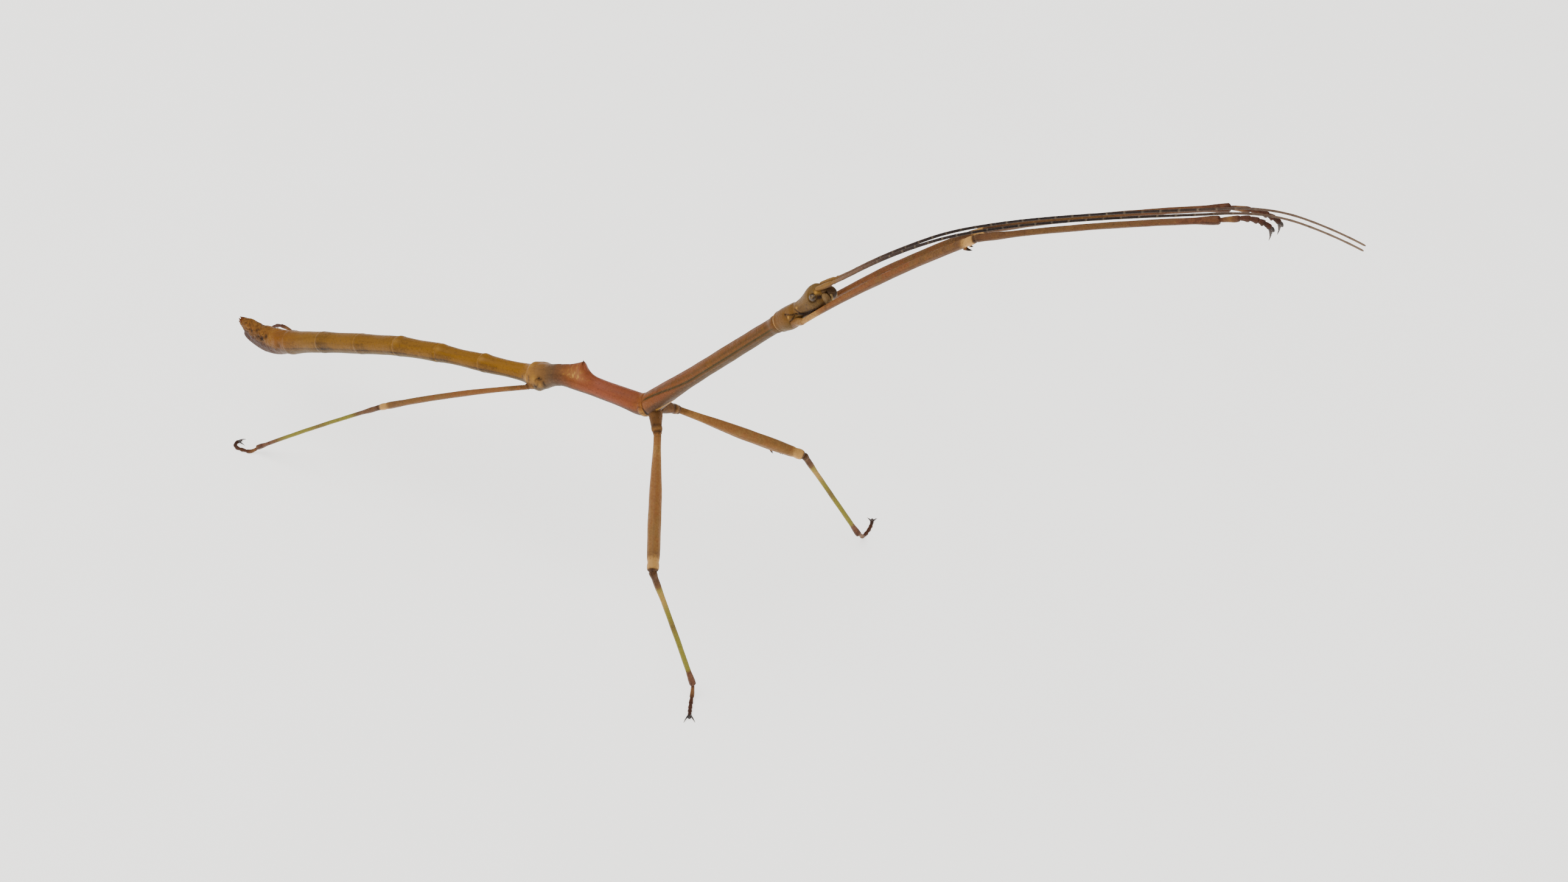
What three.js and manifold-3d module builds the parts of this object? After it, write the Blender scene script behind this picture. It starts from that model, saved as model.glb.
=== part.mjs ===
// A stick insect (Lonchodidae), life size, standing on three feet with its forelegs and feelers
// stretched out ahead and its left hind leg held back along the body.
// Millimetres, +X towards the head, +Y to the insect's left, +Z up, feet on Z = 0.
import * as THREE from 'three';
import Module from 'manifold-3d';
import { mergeVertices } from 'three/addons/utils/BufferGeometryUtils.js';

const wasm = await Module();
wasm.setup();

// ---------------------------------------------------------------- driving dimensions

const GAP = 0.3;              // clear space between neighbouring pieces
const EYE_GAP = 0.2;          // the same round an eye
const CENTRE_X = 0.882;       // middle of the whole insect, measured from the joint over the mid legs
const CENTRE_Y = -0.772;
const WAIST = [-0.8, 27.65];  // the joint over the mid legs: along X, and above the floor
const BEND = 1.2;             // half the length over which the body turns at a joint

const TRUNK_SIDES = 16;
const LEG_SIDES = 10;
const FINE_SIDES = 8;

// The trunk from tail to head: length, pitch (degrees up towards the head), then the radius at the
// rear, middle and front of the segment, and its width as a share of its height.
const TRUNK = [
  { name: 'abdomen_10', length: 3.5, pitch: -21.5, rear: 0.5, middle: 1.14, front: 1.3, wide: 0.85 },
  { name: 'abdomen_9', length: 2.7, pitch: -4, rear: 1.33, middle: 1.48, front: 1.58, wide: 0.9 },
  { name: 'abdomen_8', length: 3.2, pitch: 10, rear: 1.58, middle: 1.64, front: 1.63, wide: 0.92 },
  { name: 'abdomen_7', length: 6.9, pitch: 20, rear: 1.65, middle: 1.56, front: 1.53, wide: 0.96 },
  { name: 'abdomen_6', length: 7.6, pitch: 18.4, rear: 1.53, middle: 1.44, front: 1.46, wide: 0.98 },
  { name: 'abdomen_5', length: 7.4, pitch: 17.6, rear: 1.44, middle: 1.35, front: 1.38, wide: 1 },
  { name: 'abdomen_4', length: 7.2, pitch: 11.8, rear: 1.37, middle: 1.27, front: 1.31, wide: 1 },
  { name: 'abdomen_3', length: 7.2, pitch: 8, rear: 1.22, middle: 1.12, front: 1.2, wide: 1 },
  { name: 'abdomen_2', length: 8.2, pitch: 8, rear: 1.22, middle: 1.12, front: 1.22, wide: 1 },
  { name: 'median_segment', length: 4.9, pitch: 20.5, rear: 1.24, middle: 1.3, front: 1.32, wide: 1.06 },
  { name: 'metathorax', length: 12.2, pitch: -0.8, rear: 1.28, middle: 1.2, front: 1.3, wide: 1.04 },
  { name: 'mesothorax', length: 26.2, pitch: 46.5, rear: 1.36, middle: 1.02, front: 0.94, wide: 1.04 },
  { name: 'prothorax', length: 4.3, pitch: 46, rear: 1.02, middle: 1.2, front: 1.12, wide: 1.08 },
];
const HEAD = { length: 5.9, pitch: 43 };

const THORN = { back: 8.45, height: 1.75, radius: 0.5, lean: -8 };
// The ridge that climbs to the thorn from behind: length of the climb, height, length of the fall,
// and how far behind the thorn it ends.
const CREST = { climb: 5.3, height: 2.2, fall: 0.8, behind: 0.4 };
const COLLAR = { height: 0.36, behind: 0.9, reach: 1.2 };   // raised ring just behind the hind legs
const BELLY = { along: 4.5, depth: 0.75, reach: 2.3 };      // fullness below the tail
// The scoop below the tail: its place, half lengths along, across and high, and pitch.
const SCOOP = { along: 4.4, below: 1.85, half: [3.3, 0.98, 1.32], pitch: -12 };
const EYE = { radius: 0.46, along: 3.66, out: 0.92, up: 0.82 };

// Each leg: where it leaves the body, where its femur starts, then azimuth (degrees from straight
// ahead, left positive), elevation and upward bow of femur and tibia. A tarsus is a list of turns:
// distance along it, azimuth, elevation, and the last distance is its length. A spine under the
// femur stands its distance before the knee.
const FEMUR_LENGTH = { fore: 25, mid: 17.6, hind: 24.8 };
const TIBIA_LENGTH = { fore: 23.7, mid: 17.7, hind: 27.7 };
const LEGS = [
  {
    pair: 'fore', side: 'right', root: [19.3, -0.5, 47.85], start: [21.65, -1.45, 49.52],
    femur: [0.2, 42, 9], tibia: [0, 22.2, 6], spine: 1.9,
    tarsus: [[0, 0, 24], [1.8, 0, 22], [3, 0, 2], [4.2, 0, -22], [4.9, 0, -45]],
  },
  {
    pair: 'fore', side: 'left', root: [19.3, 0.5, 47.85], start: [21.65, 1.45, 49.52],
    femur: [-1.4, 41.1, 9], tibia: [0.8, 22.4, 6], spine: 1.9,
    tarsus: [[0, 0, 12], [1.5, 0, 9], [3, 0, -6], [4.2, 0, -24], [4.9, 0, -50]],
  },
  {
    pair: 'mid', side: 'right', root: [0.9, -0.4, 27.7], start: [2.52, -2.7, 26.0],
    femur: [-62.4, -24.9, 0], tibia: [-9, -73, 3], spine: 2.75,
    tarsus: [[0, -64, -52], [1.2, -75, -56], [2.2, -67, 0], [4.7, -62, 0]],
  },
  {
    pair: 'mid', side: 'left', root: [0.9, 0.4, 27.7], start: [2.4, 2.7, 25.85],
    femur: [28.6, -27.3, 0], tibia: [38.4, -64.3, 0], spine: 4.4,
    tarsus: [[0, 78, -43], [1.3, 84, -59], [2.4, 86, -10], [3.6, 90, 0], [5.7, 112, 0]],
  },
  {
    pair: 'hind', side: 'right', root: [-15.6, -0.4, 26.3], start: [-17.3, -2.1, 25.4],
    femur: [-170.4, -22.7, 7], tibia: [-172.8, -32.3, 3],
    tarsus: [[0, -148, -49], [1.3, -152, -15], [2.2, -176, 0], [3.4, -174, 0], [4.4, -215, 0], [5.8, -325, 0]],
  },
  {
    pair: 'hind', side: 'left', root: [-15.6, 0.4, 26.3], start: [-17.3, 2.1, 25.1],
    femur: [177.6, -13.4, 5], tibia: [172.7, -19.6, 0],
    tarsus: [[0, 176, 30], [2.2, 178, -10], [4.2, 180, -42], [6.4, 180, -66]],
  },
];
const SPINE = { length: 1.05, radius: 0.24 };
const TARSUS_RADIUS = 0.27;
const CLAW = { length: 1.05, radius: 0.17, spread: 34, droop: 35 };

// Feelers: the turns that both follow (distance, elevation), their radius at base and tip, and how
// far each lies from the middle (distance, offset).
const FEELER = {
  length: 57.5, base: 0.28, tip: 0.25,
  start: [23, 53.8],
  turns: [
    [0, 36.5], [5, 42.8], [10, 38.9], [15, 35.2], [20, 27.6], [28, 22.6],
    [40, 19.5], [45, 20], [48, 12], [52, -6], [57.5, -16],
  ],
  apart: [[0, 0.5], [4, 0.4], [12, 0.42], [16, 0.52], [57.5, 0.42]],
};

// ---------------------------------------------------------------- colours

const ochre = new THREE.MeshStandardMaterial({ color: 0xa8812f, roughness: 0.55, metalness: 0 });
const brick = new THREE.MeshStandardMaterial({ color: 0x8f5a35, roughness: 0.55, metalness: 0 });
const tan = new THREE.MeshStandardMaterial({ color: 0x91703f, roughness: 0.55, metalness: 0 });
const olive = new THREE.MeshStandardMaterial({ color: 0x7d6a34, roughness: 0.55, metalness: 0 });
const redBrown = new THREE.MeshStandardMaterial({ color: 0x6b4432, roughness: 0.5, metalness: 0 });
const greyBrown = new THREE.MeshStandardMaterial({ color: 0x6f5a48, roughness: 0.55, metalness: 0 });
const eyeBrown = new THREE.MeshStandardMaterial({ color: 0x4a3a2c, roughness: 0.25, metalness: 0 });

// ---------------------------------------------------------------- helpers

const radians = THREE.MathUtils.degToRad;
const mix = THREE.MathUtils.lerp;
const vector = ([x, y, z]) => new THREE.Vector3(x, y, z);
const clamp01 = (t) => THREE.MathUtils.clamp(t, 0, 1);
const smooth = (t) => THREE.MathUtils.smoothstep(t, 0, 1);
const bump = (distance, width) => Math.exp(-((distance / width) ** 2));

/** Unit vector at an azimuth (degrees, left positive) and an elevation (degrees, up positive). */
function heading(azimuth, elevation) {
  const flat = Math.cos(radians(elevation));
  return new THREE.Vector3(
    flat * Math.cos(radians(azimuth)),
    flat * Math.sin(radians(azimuth)),
    Math.sin(radians(elevation)),
  );
}

/** Value at s on the straight lines that join knots [place, value]. */
function along(knots, s) {
  const next = knots.findIndex(([place]) => place > s);
  if (next === 0) return knots[0][1];
  if (next < 0) return knots[knots.length - 1][1];
  const [a, b] = [knots[next - 1], knots[next]];
  return mix(a[1], b[1], (s - a[0]) / (b[0] - a[0]));
}

/** A line through space, found by stepping along it. turns: [distance, azimuth, elevation]. */
class Course {
  constructor(start, turns, length) {
    this.step = length / Math.ceil(length / 0.1);
    this.length = length;
    this.turns = turns;
    this.points = [start.clone()];
    for (let s = this.step / 2; s < length; s += this.step) {
      const last = this.points[this.points.length - 1];
      this.points.push(last.clone().addScaledVector(this.direction(s), this.step));
    }
  }

  direction(s) {
    const azimuths = this.turns.map(([place, azimuth]) => [place, azimuth]);
    const elevations = this.turns.map(([place, , elevation]) => [place, elevation]);
    return heading(along(azimuths, s), along(elevations, s));
  }

  point(s) {
    const place = Math.min(Math.max(s / this.step, 0), this.points.length - 1);
    const index = Math.min(Math.floor(place), this.points.length - 2);
    return this.points[index].clone().lerp(this.points[index + 1], place - index);
  }

  shift(offset) {
    this.points.forEach((point) => point.add(offset));
    return this;
  }
}

/** Course with one azimuth that arches up by bow degrees from end to end. */
function arched(start, [azimuth, elevation, bow], length) {
  const turns = [[0, azimuth, elevation + bow / 2], [length, azimuth, elevation - bow / 2]];
  return new Course(start, turns, length);
}

/**
 * Closed solid along a course: one ring of points at each distance, at radius(s, angle) from the
 * course, and a flat cap at each end. Angle 0 is the top of a ring, and a quarter turn its left.
 */
function loft(course, distances, sides, radius, upwards = new THREE.Vector3(0, 0, 1)) {
  const positions = [];
  const index = [];
  for (const s of distances) {
    const forward = course.direction(s);
    const left = upwards.clone().cross(forward).normalize();
    const up = forward.clone().cross(left);
    for (let k = 0; k < sides; k += 1) {
      const angle = (2 * Math.PI * k) / sides;
      const r = radius(s, angle);
      const point = course.point(s);
      point.addScaledVector(up, r * Math.cos(angle)).addScaledVector(left, r * Math.sin(angle));
      positions.push(point.x, point.y, point.z);
    }
  }
  const last = distances.length - 1;
  const capCentre = [positions.length / 3, positions.length / 3 + 1];
  positions.push(...course.point(distances[0]).toArray(), ...course.point(distances[last]).toArray());
  for (let k = 0; k < sides; k += 1) {
    const next = (k + 1) % sides;
    index.push(capCentre[0], k, next, capCentre[1], last * sides + next, last * sides + k);
    for (let row = 0; row < last; row += 1) {
      const [a, b] = [row * sides + k, row * sides + next];
      index.push(a, b + sides, b, a, a + sides, b + sides);
    }
  }
  const geometry = new THREE.BufferGeometry();
  geometry.setAttribute('position', new THREE.Float32BufferAttribute(positions, 3));
  geometry.setIndex(index);
  return geometry;
}

/** Evenly spaced distances from a to b. */
function spread(a, b, steps) {
  return Array.from({ length: steps + 1 }, (_, i) => mix(a, b, i / steps));
}

/** Closed three.js geometry as a solid that can be joined and cut. */
function solid(geometry) {
  const bare = geometry.clone();
  bare.deleteAttribute('normal');
  bare.deleteAttribute('uv');
  const merged = mergeVertices(bare, 1e-4);
  const mesh = new wasm.Mesh({
    numProp: 3,
    vertProperties: new Float32Array(merged.attributes.position.array),
    triVerts: new Uint32Array(merged.index.array),
  });
  return new wasm.Manifold(mesh);
}

function geometryOf(body) {
  const mesh = body.getMesh();
  const geometry = new THREE.BufferGeometry();
  geometry.setAttribute('position', new THREE.Float32BufferAttribute(mesh.vertProperties, 3));
  geometry.setIndex(Array.from(mesh.triVerts));
  return geometry;
}

/** Pointed thorn or claw: a cone on a course that bends down towards its tip. */
function thorn(base, azimuth, elevation, length, radius, droop = 0, sides = 5) {
  const course = new Course(base, [[0, azimuth, elevation], [length, azimuth, elevation - droop]], length);
  const upwards = Math.abs(elevation) > 60 ? heading(azimuth, 0) : new THREE.Vector3(0, 0, 1);
  const distances = spread(0, length, 3);
  return solid(loft(course, distances, sides, (s) => radius * (1 - s / length) + 0.04, upwards));
}

/** Ellipsoid with its axes turned by a pitch in the X-Z plane. */
function ellipsoid(centre, [along, across, high], pitch, columns = 8, rows = 6) {
  const geometry = new THREE.SphereGeometry(1, columns, rows);
  geometry.scale(along, across, high);
  geometry.rotateY(radians(-pitch));
  geometry.translate(...centre);
  return solid(geometry);
}

const group = new THREE.Group();

function add(name, geometry, material) {
  const mesh = new THREE.Mesh(geometry, material);
  mesh.name = name;
  group.add(mesh);
}

// ---------------------------------------------------------------- body axis

const rows = [...TRUNK, { name: 'head', ...HEAD }];
const trunkTurns = [];
let reach = 0;
for (const row of rows) {
  row.from = reach;
  reach += row.length;
  row.to = reach;
  const ease = Math.min(BEND, row.length / 3);
  trunkTurns.push([row.from + ease, 0, row.pitch], [row.to - ease, 0, row.pitch]);
}
const axis = new Course(new THREE.Vector3(), trunkTurns, reach);
const waist = rows.find((row) => row.name === 'mesothorax').from;
axis.shift(new THREE.Vector3(WAIST[0], 0, WAIST[1]).sub(axis.point(waist)));

/** Radius of a trunk segment at a distance along the body. */
function segmentRadius(row, s) {
  const t = (s - row.from) / row.length;
  return t < 0.5 ? mix(row.rear, row.middle, smooth(2 * t)) : mix(row.middle, row.front, smooth(2 * t - 1));
}

/** Swellings: low on both sides at the leg roots, the collar, the belly under the tail, the crest. */
function swelling(s, angle) {
  const hind = rows.find((row) => row.name === 'median_segment').from + 1.8;
  const fore = rows.find((row) => row.name === 'prothorax').to;
  const low = Math.max(0, -Math.cos(angle + 0.9)) ** 2 + Math.max(0, -Math.cos(angle - 0.9)) ** 2;
  const front = 0.26 * bump(s - waist - 1, 2.6) + 0.4 * bump(s - fore + 1.4, 1.3);
  const roots = 0.55 * bump(s - hind, 1.8) + front;
  const collar = COLLAR.height * bump(s - hind + COLLAR.behind, COLLAR.reach);
  const belly = BELLY.depth * bump(s - BELLY.along, BELLY.reach) * Math.max(0, -Math.cos(angle)) ** 2;
  const crestEnd = waist - THORN.back - CREST.behind;
  const climb = clamp01((s - crestEnd + CREST.climb) / CREST.climb);
  const fall = Math.exp(-Math.max(0, s - crestEnd) / CREST.fall);
  const back = Math.max(0, Math.cos(angle));
  const hump = 0.12 * bump(s - crestEnd + 2, 3.5) * back ** 2;
  return low * roots + collar + belly + hump + CREST.height * climb ** 2 * fall * back ** 10;
}

function trunkRadius(row, grow = 0) {
  return (s, angle) => {
    const r = segmentRadius(row, s);
    const oval = 1 / Math.hypot(Math.cos(angle), Math.sin(angle) / row.wide);
    return r * oval + swelling(s, angle) + grow;
  };
}

const segments = {};
for (const row of TRUNK) {
  const steps = Math.max(3, Math.round(row.length / (row.name === 'metathorax' ? 1 : 2.1)));
  const distances = spread(row.from + GAP / 2, row.to - GAP / 2, steps);
  segments[row.name] = solid(loft(axis, distances, TRUNK_SIDES, trunkRadius(row)));
}

const thornBase = axis.point(waist - THORN.back).add(new THREE.Vector3(0, 0, 1.6));
segments.metathorax = segments.metathorax.add(
  thorn(thornBase, 0, 90 - THORN.lean, THORN.height + 0.5, THORN.radius, 6),
);

const scoopCentre = axis.point(SCOOP.along).sub(new THREE.Vector3(0, 0, SCOOP.below));
let scoop = ellipsoid(scoopCentre.toArray(), SCOOP.half, SCOOP.pitch, 12, 6);
for (const row of TRUNK.slice(0, 4)) {
  const grown = loft(axis, spread(row.from - GAP, row.to + GAP, 6), TRUNK_SIDES, trunkRadius(row, GAP));
  scoop = scoop.subtract(solid(grown));
}
segments.operculum = scoop;

// ---------------------------------------------------------------- head

const headRow = rows[rows.length - 1];

/** Head: narrow neck, broad cheeks, then a blunt front. */
function headRadius(s, angle) {
  const t = (s - headRow.from) / headRow.length;
  const crown = 0.66 * bump(t - 0.68, 0.3) * Math.max(0, Math.cos(angle));
  const high = 0.98 + 0.36 * bump(t - 0.5, 0.32) + crown - 0.28 * smooth((t - 0.72) / 0.28);
  const wide = 0.98 + 0.34 * bump(t - 0.52, 0.3) - 0.3 * smooth((t - 0.66) / 0.34);
  return 1 / Math.hypot(Math.cos(angle) / high, Math.sin(angle) / wide);
}

/** Point of the head at a distance along it, with offsets to the left and up from its axis. */
function onHead(along, left, up) {
  const s = headRow.from + along;
  const forward = axis.direction(s);
  const rise = new THREE.Vector3(-forward.z, 0, forward.x);
  return axis.point(s).addScaledVector(rise, up).add(new THREE.Vector3(0, left, 0));
}

let head = solid(loft(axis, spread(headRow.from + GAP / 2, headRow.to - 1, 8), TRUNK_SIDES, headRadius));
for (const side of [-1, 1]) {
  const centre = onHead(EYE.along, side * EYE.out, EYE.up).toArray();
  const socket = EYE.radius + EYE_GAP;
  head = head.subtract(ellipsoid(centre, [socket, socket, socket], HEAD.pitch, 8, 6));
  const eye = ellipsoid(centre, [EYE.radius, EYE.radius * 0.9, EYE.radius], HEAD.pitch, 10, 6);
  add(side < 0 ? 'eye_right' : 'eye_left', geometryOf(eye), eyeBrown);
}

/** Jaws and palps: two cheek lobes, an upper lip and two short palps below. */
const lobes = [
  ellipsoid(onHead(5.4, 0, 0.15).toArray(), [0.6, 0.55, 0.75], HEAD.pitch - 20),
  ellipsoid(onHead(5.2, -0.45, -0.15).toArray(), [0.5, 0.4, 0.8], HEAD.pitch - 20),
  ellipsoid(onHead(5.2, 0.45, -0.15).toArray(), [0.5, 0.4, 0.8], HEAD.pitch - 20),
];
let mouth = lobes.reduce((body, lobe) => body.add(lobe));
mouth = mouth.subtract(solid(loft(axis, spread(headRow.from, headRow.to - 1 + GAP, 8), TRUNK_SIDES,
  (s, angle) => headRadius(s, angle) + GAP)));
add('mouthparts', geometryOf(mouth), greyBrown);

// ---------------------------------------------------------------- feelers

const FEELER_PARTS = [['base', 0, 15], ['middle', 15, 37], ['tip', 37, FEELER.length]];

function feelerCourse(side) {
  const turns = FEELER.turns.map(([s, elevation]) => [s, 0, elevation]);
  const course = new Course(new THREE.Vector3(FEELER.start[0], 0, FEELER.start[1]), turns, FEELER.length);
  course.points.forEach((point, i) => {
    point.y = side * along(FEELER.apart, i * course.step);
  });
  return course;
}

for (const side of [-1, 1]) {
  const course = feelerCourse(side);
  for (const [part, from, to] of FEELER_PARTS) {
    const radius = (s) => mix(FEELER.base, FEELER.tip, smooth(s / 16)) + 0.08 * bump(s - 0.9, 1);
    const ends = [from + (from > 0 ? GAP / 2 : 0), to - (to < FEELER.length ? GAP / 2 : 0)];
    const feeler = loft(course, spread(...ends, Math.round((to - from) / 2.2)), FINE_SIDES, radius);
    if (part === 'base') head = head.subtract(solid(loft(course, spread(-0.2, 3, 4), FINE_SIDES,
      (s) => radius(s) + EYE_GAP)));
    add(`feeler_${side < 0 ? 'right' : 'left'}_${part}`, feeler, greyBrown);
  }
}
add('head', geometryOf(head), tan);

// ---------------------------------------------------------------- legs

const floorCut = new THREE.BoxGeometry(300, 120, 10).translate(0, 0, -5);
const carrier = { fore: 'prothorax', mid: 'mesothorax', hind: 'metathorax' };
const kneeRadius = { fore: 0.46, mid: 0.72, hind: 0.5 };
const shankRadius = { fore: 0.33, mid: 0.34, hind: 0.29 };

/** Femur: slim at its base, fullest past the middle, with four low ridges and a deeper underside. */
function thighRadius(pair, length) {
  const thin = { fore: 0.3, mid: 0.46, hind: 0.34 }[pair];
  const full = { fore: 0.44, mid: 0.78, hind: 0.42 }[pair];
  const knee = kneeRadius[pair];
  const deep = { fore: 0.06, mid: 0.2, hind: 0.06 }[pair];
  return (s, angle) => {
    const t = s / length;
    const belly = 1 + deep * Math.max(0, -Math.cos(angle)) ** 2;
    const trunk = mix(thin, full, smooth(t / 0.55));
    const end = mix(trunk, knee, smooth((t - 0.75) / 0.2));
    return end * belly * (1 + 0.05 * Math.cos(4 * angle)) * (1 - 0.35 * smooth((t - 0.96) / 0.04));
  };
}

/** Tibia: a short neck at the knee, a slim shank and a slightly wider end. */
function shinRadius(pair, length) {
  const thin = shankRadius[pair];
  return (s, angle) => {
    const foot = 0.11 * smooth((s - length + 2.4) / 2);
    const neck = 0.1 * bump(s - 1.6, 1.5);
    return (thin + neck + foot) * (1 + 0.04 * Math.cos(4 * angle));
  };
}

/** Tarsus: five joints, each a little wider towards its end. */
function footRadius(length) {
  const joints = [0, 0.36, 0.54, 0.69, 0.8, 1.001].map((share) => share * length);
  return (s) => {
    const k = Math.max(0, joints.findIndex((joint) => joint > s) - 1);
    const t = (s - joints[k]) / (joints[k + 1] - joints[k]);
    return TARSUS_RADIUS * (0.86 + 0.26 * smooth(t));
  };
}

const inflated = {};
for (const name of ['prothorax', 'mesothorax', 'metathorax', 'median_segment']) {
  const row = rows.find((entry) => entry.name === name);
  const distances = spread(row.from - GAP, row.to + GAP, Math.round(row.length / 1.3));
  inflated[name] = solid(loft(axis, distances, TRUNK_SIDES, trunkRadius(row, GAP)));
}
inflated.head = solid(loft(axis, spread(headRow.from - GAP, headRow.to - 1 + GAP, 8), TRUNK_SIDES,
  (s, angle) => headRadius(s, angle) + GAP));

for (const leg of LEGS) {
  const label = `${leg.pair}_${leg.side}`;
  const [femurLength, tibiaLength] = [FEMUR_LENGTH[leg.pair], TIBIA_LENGTH[leg.pair]];
  const root = vector(leg.root);
  const start = vector(leg.start);
  const toStart = start.clone().sub(root);
  const coxaLength = toStart.length();
  const azimuth = THREE.MathUtils.radToDeg(Math.atan2(toStart.y, toStart.x));
  const elevation = THREE.MathUtils.radToDeg(Math.asin(toStart.z / coxaLength));
  const coxaCourse = arched(root, [azimuth, elevation, 0], coxaLength);
  const wide = { fore: 0.66, mid: 0.9, hind: 0.95 }[leg.pair];
  const femurRadius = thighRadius(leg.pair, femurLength);
  const coxaRadius = (s) => mix(wide, femurRadius(0, 0) * 1.2, smooth(s / coxaLength))
    + 0.1 * bump(s - coxaLength + 0.7, 0.35);
  let coxa = solid(loft(coxaCourse, spread(0, coxaLength - GAP / 2, 7), LEG_SIDES, coxaRadius));
  for (const part of Object.keys(inflated)) coxa = coxa.subtract(inflated[part]);
  const biggest = coxa.decompose().sort((a, b) => b.volume() - a.volume())[0];
  add(`${label}_coxa`, geometryOf(biggest), brick);

  const femurCourse = arched(start, leg.femur, femurLength);
  const femurUp = heading(leg.femur[0], leg.femur[1] + 90);
  const femurEnds = spread(GAP / 2, femurLength - 1, 7).concat([femurLength - 0.5, femurLength - 0.12]);
  let femur = solid(loft(femurCourse, femurEnds, LEG_SIDES, femurRadius, femurUp));
  if (leg.spine) {
    const place = femurCourse.point(femurLength - leg.spine);
    const spineBase = place.addScaledVector(femurUp, -kneeRadius[leg.pair] * 0.8);
    femur = femur.add(thorn(spineBase, leg.femur[0], leg.femur[1] - 62, SPINE.length, SPINE.radius, -20));
  }
  add(`${label}_femur`, geometryOf(femur), tan);

  const knee = femurCourse.point(femurLength);
  const tibiaCourse = arched(knee, leg.tibia, tibiaLength);
  const bent = femurCourse.direction(0).angleTo(tibiaCourse.direction(0));
  const clear = GAP + 0.75 * kneeRadius[leg.pair] * Math.sin(bent / 2);
  const tibiaUp = Math.abs(leg.tibia[1]) > 50 ? femurCourse.direction(0) : new THREE.Vector3(0, 0, 1);
  const tibiaSteps = [...spread(clear, clear + 2, 2), ...spread(clear + 4, tibiaLength - 3, 5)]
    .concat(spread(tibiaLength - 2, tibiaLength - GAP / 2, 2));
  const tibia = loft(tibiaCourse, tibiaSteps, FINE_SIDES, shinRadius(leg.pair, tibiaLength), tibiaUp);
  add(`${label}_tibia`, tibia, olive);

  const [footLength, endAzimuth, endElevation] = leg.tarsus[leg.tarsus.length - 1];
  const ankle = tibiaCourse.point(tibiaLength);
  const footCourse = new Course(ankle, leg.tarsus, footLength);
  const footEnds = spread(GAP / 2, footLength - 0.3, 9);
  let foot = solid(loft(footCourse, footEnds, FINE_SIDES, footRadius(footLength)));
  for (const side of [-1, 1]) {
    const tip = footCourse.point(footLength - 0.5);
    const rise = endElevation > -10 ? 18 : 0;
    foot = foot.add(thorn(tip, endAzimuth + side * CLAW.spread, endElevation + rise, CLAW.length + 0.3,
      CLAW.radius, CLAW.droop));
  }
  foot = foot.subtract(solid(floorCut));
  add(`${label}_tarsus`, geometryOf(foot), redBrown);
}

// ---------------------------------------------------------------- trunk pieces

for (const [name, body] of Object.entries(segments)) {
  const material = name.startsWith('abdomen') || name === 'operculum' ? ochre : brick;
  add(name, geometryOf(body), material);
}

group.position.set(-CENTRE_X, -CENTRE_Y, 0);

export default group;
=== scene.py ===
"""Looks for a life-size stick insect: cuticle skin, eyes, mouthparts, feelers and claws over the solids.

Sizes are in millimetres in the insect's own frame (+X towards the head, +Y to its left, +Z up) and
turn into metres when a mesh is made.
"""

import math

import bpy
import numpy as np
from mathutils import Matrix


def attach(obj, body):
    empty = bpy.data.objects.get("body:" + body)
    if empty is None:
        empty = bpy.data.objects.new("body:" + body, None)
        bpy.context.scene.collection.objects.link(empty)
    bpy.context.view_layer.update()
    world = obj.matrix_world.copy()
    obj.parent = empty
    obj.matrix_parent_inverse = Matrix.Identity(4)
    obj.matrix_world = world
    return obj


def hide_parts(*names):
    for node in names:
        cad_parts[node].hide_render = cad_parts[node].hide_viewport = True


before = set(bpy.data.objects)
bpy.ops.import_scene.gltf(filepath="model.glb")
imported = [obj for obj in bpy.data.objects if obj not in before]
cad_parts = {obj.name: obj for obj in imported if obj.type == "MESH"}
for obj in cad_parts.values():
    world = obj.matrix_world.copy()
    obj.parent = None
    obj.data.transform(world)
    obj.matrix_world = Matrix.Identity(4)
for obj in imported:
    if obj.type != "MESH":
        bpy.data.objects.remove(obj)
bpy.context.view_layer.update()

# ---------------- sizes shared with the solids

MM = 0.001
CENTRE = np.array([0.882, -0.772, 0.0])
WAIST = np.array([-0.8, 0.0, 27.65])
BEND = 1.2
TURN = 2 * math.pi
COURSE_STEP = 0.1

# Trunk from tail to head: name, length, pitch, radius at rear, middle and front, width over height.
TRUNK = [
    ("abdomen_10", 3.5, -21.5, 0.5, 1.14, 1.3, 0.85),
    ("abdomen_9", 2.7, -4, 1.33, 1.48, 1.58, 0.9),
    ("abdomen_8", 3.2, 10, 1.58, 1.64, 1.63, 0.92),
    ("abdomen_7", 6.9, 20, 1.65, 1.56, 1.53, 0.96),
    ("abdomen_6", 7.6, 18.4, 1.53, 1.44, 1.46, 0.98),
    ("abdomen_5", 7.4, 17.6, 1.44, 1.35, 1.38, 1),
    ("abdomen_4", 7.2, 11.8, 1.37, 1.27, 1.31, 1),
    ("abdomen_3", 7.2, 8, 1.22, 1.12, 1.2, 1),
    ("abdomen_2", 8.2, 8, 1.22, 1.12, 1.22, 1),
    ("median_segment", 4.9, 20.5, 1.24, 1.3, 1.32, 1.06),
    ("metathorax", 12.2, -0.8, 1.28, 1.2, 1.3, 1.04),
    ("mesothorax", 26.2, 46.5, 1.36, 1.02, 0.94, 1.04),
    ("prothorax", 4.3, 46, 1.02, 1.2, 1.12, 1.08),
]
HEAD_LENGTH, HEAD_PITCH = 5.9, 43
THORN = {"back": 8.45, "height": 1.75, "radius": 0.5, "lean": -8}
CREST = {"climb": 5.3, "height": 2.2, "fall": 0.8, "behind": 0.4}
COLLAR = {"height": 0.36, "behind": 0.9, "reach": 1.2}
BELLY = {"along": 4.5, "depth": 0.75, "reach": 2.3}
SCOOP = {"along": 4.4, "below": 1.85, "half": (3.3, 0.98, 1.32), "pitch": -12}
EYE = {"radius": 0.46, "along": 3.66, "out": 0.92, "up": 0.82}

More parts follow.
